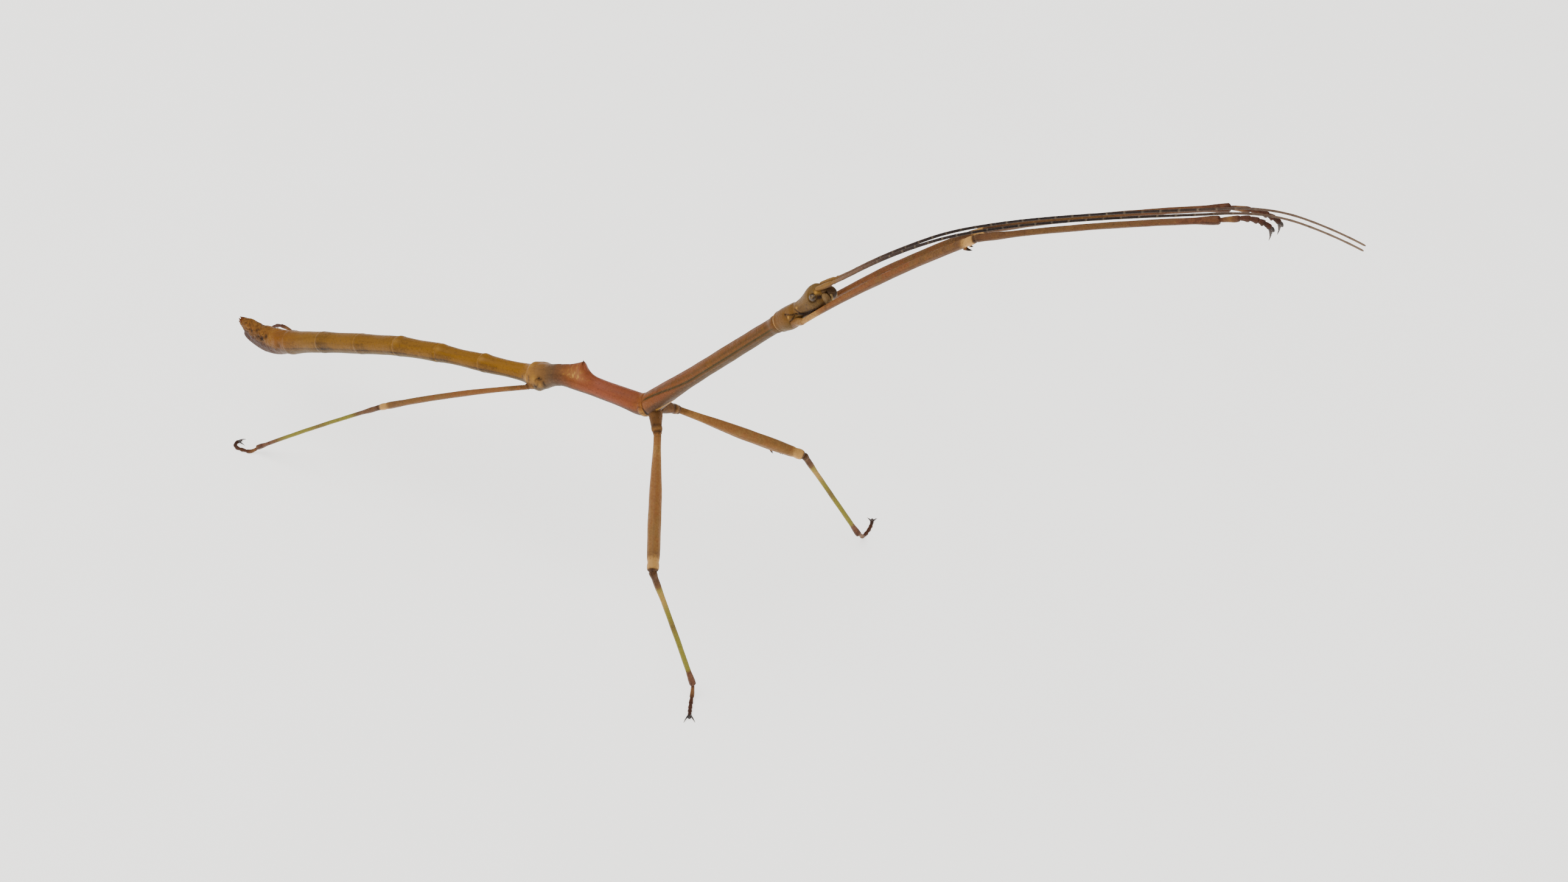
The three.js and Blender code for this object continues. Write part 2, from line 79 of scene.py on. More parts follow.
FEMUR_LENGTH = {"fore": 25, "mid": 17.6, "hind": 24.8}
TIBIA_LENGTH = {"fore": 23.7, "mid": 17.7, "hind": 27.7}
THIGH = {"fore": (0.3, 0.44, 0.46), "mid": (0.46, 0.78, 0.72), "hind": (0.34, 0.42, 0.5)}
SHANK = {"fore": 0.33, "mid": 0.34, "hind": 0.29}
HIP = {"fore": 0.66, "mid": 0.9, "hind": 0.95}
TARSUS_RADIUS = 0.27
CLAW = {"length": 1.35, "radius": 0.15, "spread": 34, "droop": 60}

# Legs, the right one first: pair, root at the trunk, femur start, femur and tibia (azimuth,
# elevation, bow), spines under the femur (distance before the knee, length), tarsus turns
# (distance, azimuth, elevation).
LEGS = [
    ("fore", (19.3, -0.5, 47.85), (21.65, -1.45, 49.52), (0.2, 42, 9), (0, 22.2, 6),
     ((1.9, 0.9), (1.2, 0.4)), ((0, 0, 24), (1.8, 0, 22), (3, 0, 2), (4.2, 0, -22), (4.9, 0, -45))),
    ("fore", (19.3, 0.5, 47.85), (21.65, 1.45, 49.52), (-1.4, 41.1, 9), (0.8, 22.4, 6),
     ((1.9, 0.9), (1.2, 0.4)), ((0, 0, 12), (1.5, 0, 9), (3, 0, -6), (4.2, 0, -24), (4.9, 0, -50))),
    ("mid", (0.9, -0.4, 27.7), (2.52, -2.7, 26.0), (-62.4, -24.9, 0), (-9, -73, 3),
     ((2.75, 0.95), (2.0, 0.45)), ((0, -64, -52), (1.2, -75, -56), (2.2, -67, 0), (4.7, -62, 0))),
    ("mid", (0.9, 0.4, 27.7), (2.4, 2.7, 25.85), (28.6, -27.3, 0), (38.4, -64.3, 0),
     ((4.4, 0.95), (3.1, 0.45), (2.8, 0.4)),
     ((0, 78, -43), (1.3, 84, -59), (2.4, 86, -10), (3.6, 90, 0), (5.7, 112, 0))),
    ("hind", (-15.6, -0.4, 26.3), (-17.3, -2.1, 25.4), (-170.4, -22.7, 7), (-172.8, -32.3, 3),
     (), ((0, -148, -49), (1.3, -152, -15), (2.2, -176, 0), (3.4, -174, 0), (4.4, -215, 0),
          (5.8, -325, 0))),
    ("hind", (-15.6, 0.4, 26.3), (-17.3, 2.1, 25.1), (177.6, -13.4, 5), (172.7, -19.6, 0),
     (), ((0, 176, 30), (2.2, 178, -10), (4.2, 180, -42), (6.4, 180, -66))),
]
FEELER_LENGTH = 57.5
FEELER_START = (23.0, 0.0, 53.8)
FEELER_TURNS = [
    (0, 36.5), (5, 42.8), (10, 38.9), (15, 35.2), (20, 27.6), (28, 22.6),
    (40, 19.5), (45, 20), (48, 12), (52, -6), (57.5, -16),
]
FEELER_APART = [(0, 0.5), (4, 0.4), (12, 0.42), (16, 0.52), (57.5, 0.42)]
SCAPE = 1.9

# ---------------- curves and closed surfaces

# First ring on a rounded end, as an angle from the tip.
END_ANGLE = 0.12


def smooth(t):
    """Rises from 0 to 1 as t does, level at both ends."""
    t = np.clip(t, 0, 1)
    return t * t * (3 - 2 * t)


def rise(t, start, width):
    """Smooth step that leaves 0 at the start and reaches 1 a width later."""
    return smooth((t - start) / width)


def bump(distance, width):
    """Bell curve: 1 at distance 0, e to the minus 1 at the width."""
    return np.exp(-((distance / width) ** 2))


def heading(azimuth, elevation):
    """Unit vectors at azimuths (left positive) and elevations (up positive), in degrees."""
    a, e = np.radians(azimuth), np.radians(elevation)
    return np.stack([np.cos(e) * np.cos(a), np.cos(e) * np.sin(a), np.sin(e) + 0 * a], -1)


def unit(v):
    return v / np.linalg.norm(v, axis=-1, keepdims=True)


def through(s, knots, values):
    """Value that passes from each knot's value to the next one's by a smooth step."""
    i = np.clip(np.searchsorted(knots, s, side="right") - 1, 0, len(knots) - 2)
    return values[i] + (values[i + 1] - values[i]) * smooth((s - knots[i]) / (knots[i + 1] - knots[i]))


class Course:
    """Line through space: from a start, short steps are added up along a heading whose azimuth and
    elevation run straight from each turn (distance, azimuth, elevation) to the next."""

    def __init__(self, start, turns, length):
        self.turns = np.array(turns, float)
        self.length = length
        count = math.ceil(length / COURSE_STEP)
        self.marks = np.linspace(0, length, count + 1)
        steps = self.headings((self.marks[1:] + self.marks[:-1]) / 2) * length / count
        self.points = np.array(start, float) + np.vstack([np.zeros(3), np.cumsum(steps, axis=0)])

    def headings(self, s):
        at, azimuths, elevations = self.turns.T
        return heading(np.interp(s, at, azimuths), np.interp(s, at, elevations))

    def places(self, s):
        """Points at distances s, and straight on past either end."""
        x, y, z = (np.interp(s, self.marks, self.points[:, k]) for k in range(3))
        past = np.minimum(s, 0) + np.maximum(s - self.length, 0)
        return np.stack([x, y, z], -1) + np.asarray(past)[..., None] * self.headings(s)


def arched(start, bearing, length):
    """Course of one azimuth that arches: its elevation falls by the bow from end to end."""
    azimuth, elevation, bow = bearing
    return Course(start, [(0, azimuth, elevation + bow / 2), (length, azimuth, elevation - bow / 2)], length)


def stations(step, a, b, round_a, round_b):
    """Distances from a to b, a step apart, and closer over the rounded lengths at both ends."""
    turn = 1 - np.cos(np.linspace(END_ANGLE, math.pi / 2, 8))
    middle = np.arange(a + round_a, b - round_b, step)[1:]
    return np.concatenate([a + round_a * turn, middle, b - round_b * turn[::-1]])


def rounding(s, a, b, round_a, round_b):
    """Share of full radius at s: a quarter ellipse at each end of the span from a to b."""
    rear = np.clip(1 - (s - a) / round_a, 0, 1)
    front = np.clip(1 - (b - s) / round_b, 0, 1)
    return np.sqrt(np.clip(1 - rear**2, 0, 1) * np.clip(1 - front**2, 0, 1))


def shell(points, along, angle, marks=None):
    """Closed grid with what its cuticle needs: distance along, cosine and sine of the angle round
    it (1 on top, 1 on the left), and its dark, pale and tint marks. It has its piece's first finish
    unless another one's number is set."""
    lay = np.stack([along, np.cos(angle), np.sin(angle)], -1)
    if marks is None:
        marks = np.zeros(points.shape)
    return {"points": points, "lay": lay, "marks": marks, "finish": 0}


def layers(dark, pale=0, tint=0):
    """Dark, pale and tint marks side by side, each kept between 0 and 1."""
    return np.clip(np.stack(np.broadcast_arrays(dark, pale, tint), -1), 0, 1)


def tube(course, s, sides, radius, marks=None, upwards=(0, 0, 1)):
    """Tube along a course: at distance s and angle a (0 on top, a quarter turn on the left) the
    skin lies radius(s, a) from the course, and marks(s, a) gives its marks."""
    forward = course.headings(s)
    left = unit(np.cross(np.asarray(upwards, float), forward))
    up = np.cross(forward, left)
    distance, angle = np.meshgrid(s, np.arange(sides) * TURN / sides, indexing="ij")
    out = np.cos(angle)[..., None] * up[:, None] + np.sin(angle)[..., None] * left[:, None]
    points = course.places(s)[:, None] + radius(distance, angle)[..., None] * out
    return shell(points, distance, angle, None if marks is None else marks(distance, angle))


def oval(centre, halves, pitch, yaw=0.0, rows=14, sides=20, mark=(0, 0, 0)):
    """Ellipsoid: half lengths along, across and high, times the cosine and sines of two angles,
    turned up by the pitch and left by the yaw. Its end rings lie a small angle from the poles."""
    pole = 0.14
    theta, angle = np.meshgrid(
        np.linspace(pole, math.pi - pole, rows), np.arange(sides) * TURN / sides, indexing="ij"
    )
    along = -halves[0] * np.cos(theta)
    across = halves[1] * np.sin(theta) * np.sin(angle)
    high = halves[2] * np.sin(theta) * np.cos(angle)
    forward = heading(yaw, pitch)
    left = heading(yaw + 90, 0)
    up = np.cross(forward, left)
    out = across[..., None] * left
    points = np.array(centre) + along[..., None] * forward + out + high[..., None] * up
    return shell(points, along + halves[0], angle, np.broadcast_to(np.array(mark, float), points.shape))


def spike(base, azimuth, elevation, length, radius, droop, dark_from, sides=10):
    """Pointed cone on a course that bends down by the droop: its radius falls in a straight line to
    a blunt tip, and it is dark beyond a share of its length."""
    course = Course(base, [(0, azimuth, elevation), (length, azimuth, elevation - droop)], length)
    steep = abs(elevation) > 60
    span = (0, length, 0.02, 0.05)
    tip = 0.02

    def marks(distance, angle):
        return layers(smooth((distance / length - dark_from) / 0.2))

    return tube(
        course, stations(length / 12, *span), sides,
        lambda d, a: (radius * (1 - d / length) + tip) * rounding(d, *span),
        marks, heading(azimuth, 0) if steep else (0, 0, 1),
    )


def piece(name, shells, finishes, replaced=()):
    """One mesh from closed grids: four-sided faces between neighbouring rings, and a fan from each
    end ring to its middle. Heights below the floor are brought up to it."""
    grids, lays, marks, corners, starts, kinds = [], [], [], [], [], []
    count, loops = 0, 0
    for part in shells:
        rows, sides = part["points"].shape[:2]
        grid = np.arange(rows * sides).reshape(rows, sides) + count
        across = np.roll(grid, -1, axis=1)
        quads = np.stack([grid[:-1], grid[1:], across[1:], across[:-1]], -1).reshape(-1, 4)
        first, last = count + rows * sides, count + rows * sides + 1
        rear = np.stack([np.full(sides, first), grid[0], across[0]], -1)
        front = np.stack([np.full(sides, last), across[-1], grid[-1]], -1)
        for key, store in (("points", grids), ("lay", lays), ("marks", marks)):
            store.append(part[key].reshape(-1, 3))
            store.append(np.stack([part[key][0].mean(0), part[key][-1].mean(0)]))
        fans = np.concatenate([rear, front])
        corners += [quads.ravel(), fans.ravel()]
        starts += [loops + np.arange(len(quads)) * 4, loops + quads.size + np.arange(len(fans)) * 3]
        kinds.append(np.full(len(quads) + len(fans), part["finish"]))
        loops += quads.size + fans.size
        count += rows * sides + 2
    points = np.concatenate(grids)
    points[:, 2] = np.maximum(points[:, 2], 0)
    mesh = bpy.data.meshes.new(name)
    corners, starts, kinds = np.concatenate(corners), np.concatenate(starts), np.concatenate(kinds)
    mesh.vertices.add(count)
    mesh.loops.add(loops)
    mesh.polygons.add(len(starts))
    mesh.vertices.foreach_set("co", ((points - CENTRE) * MM).ravel())
    mesh.loops.foreach_set("vertex_index", corners.astype(np.int32))
    mesh.polygons.foreach_set("loop_start", starts.astype(np.int32))
    mesh.polygons.foreach_set("material_index", kinds.astype(np.int32))
    mesh.polygons.foreach_set("use_smooth", np.ones(len(starts), bool))
    mesh.update(calc_edges=True)
    for key, values in (("lay", lays), ("marks", marks)):
        layer = mesh.attributes.new(key, "FLOAT_VECTOR", "POINT")
        layer.data.foreach_set("vector", np.concatenate(values).astype(np.float32).ravel())
    mesh.validate()
    for finish in finishes:
        mesh.materials.append(finish)
    obj = bpy.data.objects.new(name, mesh)
    bpy.context.collection.objects.link(obj)
    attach(obj, "root")
    if replaced:
        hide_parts(*replaced)


# ---------------- materials

# Noise cells to a metre: blotches of about 1 mm, flecks of 0.3 mm, cracks 0.5 mm and granules
# 0.15 mm apart.
BLOTCHES, FLECKS, CRACKS, GRANULES = 900, 3400, 1900, 6500
# Streaks about 4 mm long and a sixth of the girth wide: cells along (to a millimetre) and round.
FIBRES = (0.25, 2.4, 2.4)
# Noise keeps mostly between these two values.
NOISE_LOW, NOISE_HIGH = 0.3, 0.7


def linear(code):
    """Linear colour of an sRGB hex code."""
    c = np.array([int(code[i : i + 2], 16) for i in (1, 3, 5)]) / 255
    return (*np.where(c <= 0.04045, c / 12.92, ((c + 0.055) / 1.055) ** 2.4), 1.0)


def add(tree, kind, inputs=None, stops=(), **settings):
    """Adds a node with its settings and gives its outputs. An input that is a socket is linked, a
    hex code becomes its linear colour, anything else is set. Stops (place, hex) fill a ramp."""
    node = tree.nodes.new("ShaderNode" + kind)
    for key, value in settings.items():
        setattr(node, key, value)
    for key, value in (inputs or {}).items():
        if isinstance(value, bpy.types.NodeSocket):
            tree.links.new(value, node.inputs[key])
        else:
            node.inputs[key].default_value = linear(value) if isinstance(value, str) else value
    for k, (place, code) in enumerate(stops):
        points = node.color_ramp.elements
        point = points[0] if k == 0 else points[-1] if k == len(stops) - 1 else points.new(place)
        point.position, point.color = place, linear(code)
    return node.outputs


def blank(name):
    material = bpy.data.materials.new(name)
    material.use_nodes = True
    material.node_tree.nodes.clear()
    return material, material.node_tree


def cuticle(
    name, length, tones, shaded_undertones, dark, pale, tint, roughness=0.5, grain=1.4, rugged_to=-2.0
):
    """Insect cuticle, grown in place and hardened in air under a thin film of wax, which gives a satin gloss
    broken by fine granules. Tones run along the part's length on its top, and darker undertones on its
    underside, which are partly the underside's own colour and partly painted shade. Layers of dark, pale and
    tint lie over them. The first stretch, up to rugged_to, is cracked and warty."""
    material, tree = blank(name)
    lay = add(tree, "Attribute", attribute_name="lay")["Vector"]
    marks = add(tree, "Attribute", attribute_name="marks")["Vector"]
    place = add(tree, "TexCoord")["Object"]
    along, top_side, _ = add(tree, "SeparateXYZ", {0: lay})
    dark_mark, pale_mark, tint_mark = add(tree, "SeparateXYZ", {0: marks})
    mottle = add(tree, "TexNoise", {"Vector": place, "Scale": BLOTCHES, "Detail": 4, "Roughness": 0.6})[0]
    fleck = add(tree, "TexNoise", {"Vector": place, "Scale": FLECKS, "Detail": 3, "Roughness": 0.65})[0]
    fibre = add(tree, "Mapping", {"Vector": lay, "Scale": FIBRES})[0]
    streak = add(tree, "TexNoise", {"Vector": fibre, "Scale": 1.3, "Detail": 5, "Roughness": 0.62})[0]
    # The tones' places wander by up to 0.35 of the length's unit, and the underside's edge wavers.
    drift = add(tree, "MapRange", {0: mottle, 1: NOISE_LOW, 2: NOISE_HIGH, 3: -0.35, 4: 0.35})[0]
    shifted = add(tree, "Math", {0: along, 1: drift}, operation="ADD")[0]
    share = add(tree, "MapRange", {0: shifted, 1: 0, 2: length})[0]
    colour = add(tree, "ValToRGB", {0: share}, tones)[0]
    under = add(tree, "ValToRGB", {0: share}, shaded_undertones)[0]
    waver = add(tree, "MapRange", {0: streak, 1: NOISE_LOW, 2: NOISE_HIGH, 3: -0.16, 4: 0.16})[0]
    height_round = add(tree, "Math", {0: top_side, 1: waver}, operation="ADD")[0]
    broken_pale = add(tree, "Math", {0: pale_mark, 1: fleck}, operation="MULTIPLY")[0]
    crack = add(tree, "TexNoise", {"Vector": place, "Scale": CRACKS, "Detail": 5, "Roughness": 0.7})[0]
    rugged = add(
        tree, "MapRange", {0: along, 1: rugged_to, 2: rugged_to - 2}, interpolation_type="SMOOTHSTEP"
    )[0]
    cracked = add(tree, "Math", {0: rugged, 1: crack}, operation="MULTIPLY")[0]
    thinned = add(tree, "Math", {0: mottle, 1: fleck}, operation="ADD")[0]
    broken_dark = add(tree, "Math", {0: dark_mark, 1: thinned}, operation="MULTIPLY")[0]
    # Each layer: what drives it, from where to where, how strong it gets, and its colour.
    for source, low, high, strength, coat in (
        # Underside layer: the undertones, partly the underside's own colour and partly painted shade.
        (height_round, 0.25, -0.5, 1.0, under),
        (tint_mark, 0.0, 1.0, 1.0, tint),
        (streak, 0.45, 0.8, 0.26, dark),
        (mottle, 0.52, 0.8, 0.1, pale),
        (fleck, 0.54, 0.72, 0.26 * grain, dark),
        (fleck, 0.42, 0.28, 0.1 * grain, pale),
        (broken_pale, 0.0, 0.45, 1.0, pale),
        (cracked, 0.45, 0.64, 0.6, dark),
        (broken_dark, 0.0, 1.0, 1.0, dark),
    ):
        spread = {0: source, 1: low, 2: high, 3: 0.0, 4: strength}
        amount = add(tree, "MapRange", spread, interpolation_type="SMOOTHSTEP")[0]
        colour = add(tree, "Mix", {0: amount, 6: colour, 7: coat}, data_type="RGBA")[2]
    gloss = {0: mottle, 1: NOISE_LOW, 2: NOISE_HIGH, 3: roughness - 0.08, 4: roughness + 0.1}
    rough = add(tree, "MapRange", gloss)[0]
    # Relief a few hundredths of a millimetre high: wrinkles along the streaks, granules, cracks.
    granule = add(tree, "TexVoronoi", {"Vector": place, "Scale": GRANULES}, feature="SMOOTH_F1")[0]
    wrinkle = add(tree, "Math", {0: streak, 1: 1.6, 2: fleck}, operation="MULTIPLY_ADD")[0]
    granular = add(tree, "Math", {0: wrinkle, 1: granule}, operation="SUBTRACT")[0]
    height = add(tree, "Math", {0: cracked, 1: -8.0, 2: granular}, operation="MULTIPLY_ADD")[0]
    relief = add(tree, "Bump", {"Height": height, "Strength": 0.6, "Distance": 0.05 * MM})[0]
    shader = add(tree, "BsdfPrincipled", {
        "Base Color": colour, "Roughness": rough, "Normal": relief, "IOR": 1.5,
        "Specular IOR Level": 0.16,
    })
    add(tree, "OutputMaterial", {0: shader[0]})
    return material


def plain_shine(name, tones, scale, roughness, height=0.01 * MM, glow=0.0, shine=0.5):
    """Smooth finish whose colour wanders between tones by noise of so many cells to a metre, glowing
    softly where a glow is given."""
    material, tree = blank(name)
    place = add(tree, "TexCoord")["Object"]
    cloud = add(tree, "TexNoise", {"Vector": place, "Scale": scale, "Detail": 3})[0]
    share = add(tree, "MapRange", {0: cloud, 1: 0.35, 2: 0.65})[0]
    colour = add(tree, "ValToRGB", {0: share}, tones)[0]
    relief = add(tree, "Bump", {"Height": cloud, "Strength": 0.4, "Distance": height})[0]
    shader = add(tree, "BsdfPrincipled", {
        "Base Color": colour, "Roughness": roughness, "Normal": relief, "IOR": 1.5,
        "Emission Color": "#fffdf8", "Emission Strength": glow, "Specular IOR Level": shine,
    })
    add(tree, "OutputMaterial", {0: shader[0]})
    return material


# ---------------- trunk and head

lengths = np.array([row[1] for row in TRUNK] + [HEAD_LENGTH])
ends = np.cumsum(lengths)
begins = ends - lengths
where = dict(zip([row[0] for row in TRUNK], begins))
head_from, total = begins[-1], ends[-1]
pitches = [row[2] for row in TRUNK] + [HEAD_PITCH]
turns = []
for start, length, pitch in zip(begins, lengths, pitches):
    ease = min(BEND, length / 3)
    turns += [(start + ease, 0, pitch), (start + length - ease, 0, pitch)]
axis = Course((0, 0, 0), turns, total)
waist, collar = where["mesothorax"], where["prothorax"]
axis.points += WAIST - axis.places(waist)

# How far inside a segment its rear and front radii lie.
EDGE = 0.15
knots = np.array([(a + EDGE, (a + b) / 2, b - EDGE) for a, b in zip(begins[:-1], ends[:-1])]).ravel()
heights = np.array([row[3:6] for row in TRUNK]).ravel()
breadths = np.repeat([row[6] for row in TRUNK], 3)
# The trunk's two ends, and the lengths over which they are rounded.
TRUNK_SPAN = (0.12, total - 0.75, 0.55, 1.1)
# Rings between segments, and those of them with a pair of knobs.
RINGS = begins[3:10]
KNOBBED_RINGS = RINGS[3:6]
seam = waist + 0.95
thorn_at = waist - THORN["back"]
crest_end = thorn_at - CREST["behind"]
hind_hips = where["median_segment"] + 1.8
brow = head_from + 4.3
# Bulges at the leg roots: along, height and reach, and their angle from the underside.
HIP_BULGES = ((hind_hips, 0.55, 1.8), (waist + 1, 0.26, 2.6), (head_from - 1.4, 0.4, 1.3))
HIP_ANGLE = 0.9
BELLY_FILL = {"along": 9, "depth": 0.28, "reach": 2.4}
HUMP = {"behind": 2, "height": 0.12, "reach": 3.5}


def swelling(s, angle):
    """Bulges low on both sides at the leg roots, the collar behind the hind hips, the belly under
    the tail, a low hump, and the crest, which climbs by a square to its end behind the thorn and
    falls off exponentially."""
    low = np.maximum(0, -np.cos(angle + HIP_ANGLE)) ** 2 + np.maximum(0, -np.cos(angle - HIP_ANGLE)) ** 2
    roots = sum(height * bump(s - at, reach) for at, height, reach in HIP_BULGES)
    girdle = COLLAR["height"] * bump(s - hind_hips + COLLAR["behind"], COLLAR["reach"])
    belly = sum(b["depth"] * bump(s - b["along"], b["reach"]) for b in (BELLY, BELLY_FILL))
    belly = belly * np.maximum(0, -np.cos(angle)) ** 2
    climb = np.clip((s - crest_end + CREST["climb"]) / CREST["climb"], 0, 1) ** 2
    fall = np.exp(-np.maximum(0, s - crest_end) / CREST["fall"])
    back = np.maximum(0, np.cos(angle))
    hump = HUMP["height"] * bump(s - crest_end + HUMP["behind"], HUMP["reach"]) * back**2
    return low * roots + girdle + belly + hump + CREST["height"] * climb * fall * back**10


def head_radius(s, angle):
    """Ellipse across the head: narrow neck, full cheeks, high crown, blunt front."""
    t = (s - head_from) / HEAD_LENGTH
    crown = 0.66 * bump(t - 0.68, 0.3) * np.maximum(0, np.cos(angle))
    high = 0.98 + 0.36 * bump(t - 0.5, 0.32) + crown - 0.28 * rise(t, 0.72, 0.28)
    wide = 0.98 + 0.34 * bump(t - 0.52, 0.3) - 0.3 * rise(t, 0.66, 0.34)
    return 1 / np.hypot(np.cos(angle) / high, np.sin(angle) / wide)


def wave(s, angle, scale, seed):
    """Sum of five sines at seeded slants, between about -1 and 1: soft unevenness of the scale."""
    rng = np.random.default_rng(seed)
    sines = 0
    for _ in range(5):
        pace, rounds, phase = rng.uniform(0.5, 1.5) / scale, rng.integers(1, 5), rng.uniform(0, TURN)
        sines += np.sin(pace * s + rounds * angle * rng.choice([-1, 1]) + phase)
    return sines / 3


def from_eye(s, angle):
    """Distance on the skin of the head from the middle of the nearer eye, in millimetres, with 1.4
    of them to a radian of angle."""
    at = math.atan2(EYE["out"], EYE["up"])
    return np.hypot(s - head_from - EYE["along"], 1.4 * (np.abs(around(angle, 0)) - at))


def side_line(s):
    """Angle of the line along the side of the long thorax segment: it starts low on the back of the
    waist and drops to the side."""
    return 0.85 + 0.75 * rise(s - waist, 1.5, 10)


def around(angle, at):
    """Angle from a place on the ring, between minus and plus half a turn."""
    return (angle - at + math.pi) % TURN - math.pi


# Millimetres of skin to a radian of angle, for spots and for creases.
SPOT_GIRTH, CREASE_GIRTH = 1.3, 1.15


def spot(s, angle, at, turn, size):
    """Round bump on the skin at a distance along and an angle round, of a size in millimetres."""
    return bump(np.hypot(s - at, SPOT_GIRTH * around(angle, turn)), size)


def crease(s, angle, a, b, width):
    """Straight line on the unrolled skin from place a to place b (along, angle), of a width."""
    (s0, t0), (s1, t1) = a, b
    run = np.array([s1 - s0, CREASE_GIRTH * (t1 - t0)])
    x, y = s - s0, CREASE_GIRTH * around(angle, t0)
    t = np.clip((x * run[0] + y * run[1]) / (run @ run), 0, 1)
    return bump(np.hypot(x - t * run[0], y - t * run[1]), width)


# Features of one flank, mirrored on the other: along, angle and size in millimetres.
TAIL_PITS = [
    (3.8, 0.64, 0.3), (4.4, 1.2, 0.42), (5.1, 1.35, 0.28), (5.9, 0.83, 0.3), (8.5, 1.4, 0.42),
    (2.9, 1.0, 0.22),
]
KNOBS = [
    (53.9, 1.35, 0.55), (55.5, 1.25, 0.6), (56.2, 1.75, 0.5), (71.3, 1.72, 0.5), (71.4, 2.15, 0.4),
    (54.6, 0.2, 0.5),
]
# Pale spots on the plate behind the head, with their strength.
PALE_SPOTS = [(102.2, 0.93, 0.15, 0.95), (100.8, 1.36, 0.13, 0.8)]
# Folds on the plate behind the head: from one place (along, angle) to another, how dark, and how
# wide the dark is.
PLATE_FOLDS = [
    ((100.4, 0.95), (101.7, 1.5), 0.85, 0.09), ((101.7, 1.5), (102.6, 1.85), 1.0, 0.11),
    ((102.6, 1.85), (104.6, 1.95), 0.95, 0.16), ((101.4, 1.6), (100.7, 1.8), 0.8, 0.1),
    ((100.7, 1.8), (100.9, 2.1), 0.8, 0.1), ((100.3, 0.95), (100.6, 1.35), 0.6, 0.08),
]
# Folds low in front of the waist, on the cheek, and below the brow with its shadow.
WAIST_FOLD = ((73.5, 2.2), (76.4, 2.75))
CHEEK_FOLD = ((head_from + 0.4, 0.95), (head_from + 0.9, 1.7))
BROW_FOLD = ((brow + 0.1, 0.98), (brow + 1.1, 1.1))
BROW_SHADE = ((brow + 0.1, 0.98), (brow + 1.2, 1.12))
BROW_ANGLE = 0.62


def trunk_relief(s, angle):
    """Fine forms: a groove and lip at each ring, knobs, rough hind hips, a keel along the back of
    the thorax and a ridge along its side, the seam at the waist, grooves and folds on the plate
    behind the head, pits in a rough tail, eye sockets, brow and cheek edges on the head."""
    side = np.abs(around(angle, 0))
    back = np.maximum(0, np.cos(angle))
    relief = 0.0
    for ring in RINGS:
        relief += 0.04 * bump(s - ring - 0.45, 0.4) - 0.03 * bump(s - ring, 0.1)
    for ring in KNOBBED_RINGS:
        relief += 0.1 * spot(s, side, ring + 0.5, 0.5, 0.6)
    for at, turn, size in KNOBS:
        relief += 0.2 * size * spot(s, side, at, turn, size)
    relief += 0.07 * bump(s - hind_hips + 0.8, 1.6) * wave(s, angle, 0.28, 21)
    thorax = rise(s - waist, 0.5, 2) * smooth((head_from - 5 - s) / 2)
    line = side_line(s)
    ridge = 1.2 * bump(side - line - 0.14, 0.12)
    relief += 0.05 * thorax * (bump(side, 0.12) + ridge - 1.4 * bump(side - line, 0.07))
    relief += 0.05 * crease(s, side, *WAIST_FOLD, 0.2) - 0.09 * bump(s - seam, 0.2) * (0.6 + back)
    relief += 0.07 * bump(s - collar - 1.25, 0.25) - 0.09 * bump(s - collar - 0.9, 0.16)
    relief -= 0.05 * bump(side, 0.1) * bump(s - collar - 2.9, 1.2)
    for a, b, *_ in PLATE_FOLDS:
        relief -= 0.11 * crease(s, side, a, b, 0.14)
    relief -= 0.14 * bump(s - head_from, 0.25) * (0.3 + rise(side, 0.8, 0.5))
    tail = 1 - rise(s, 7, 3)
    relief += 0.05 * tail * (wave(s, angle, 0.3, 3) + wave(s, 3 * angle, 0.14, 13))
    relief -= 0.06 * (bump(s - begins[1], 0.14) + bump(s - begins[2], 0.14))
    for at, turn, size in TAIL_PITS:
        relief -= 0.4 * size * spot(s, side, at, turn, 0.8 * size)
    eye = from_eye(s, angle)
    relief += 0.06 * bump(eye - 0.62, 0.12) - 0.34 * bump(eye, 0.45)
    relief += 0.08 * spot(s, side, brow, BROW_ANGLE, 0.2) - 0.13 * crease(s, side, *BROW_FOLD, 0.2)
    relief -= 0.07 * crease(s, side, *CHEEK_FOLD, 0.12)
    return relief + 0.014 * wave(s, angle, 0.8, 5)


# The scoop's front half is this many times longer, and rises by a share of its depth.
SCOOP_FRONT, SCOOP_RISE = 1.35, 0.22


def scoop_reach(s, angle):
    """Reach of the scoop below the tail: the far crossing of a line from the axis with the scoop's
    elliptical section, and 0 where the line misses it. Its front half rises, so that it runs out in
    the belly."""
    middle = axis.places(SCOOP["along"]) - np.array([0, 0, SCOOP["below"]])
    half_long, half_wide, half_high = SCOOP["half"]
    slope = math.tan(math.radians(SCOOP["pitch"]))
    at = axis.places(s)
    over = (at[..., 0] - middle[0]) / half_long
    past = np.clip(np.where(over > 0, over / SCOOP_FRONT, over), -1, 1)
    share = np.sqrt(1 - 0.9999 * past**2)
    low = at[..., 2] - middle[2] - slope * half_long * over
    low = np.where(over > 0, SCOOP["below"] * (1 - SCOOP_RISE * over), low)
    wide, high = half_wide * share, half_high * share
    a = (np.sin(angle) / wide) ** 2 + (np.cos(angle) / high) ** 2
    b = np.cos(angle) * low / high**2
    inside = b * b - a * ((low / high) ** 2 - 1)
    reach = (np.sqrt(np.clip(inside, 0, None)) - b) / a
    return np.where((inside > 0) & (np.cos(angle) < 0) & (np.abs(past) < 1), reach, 0)


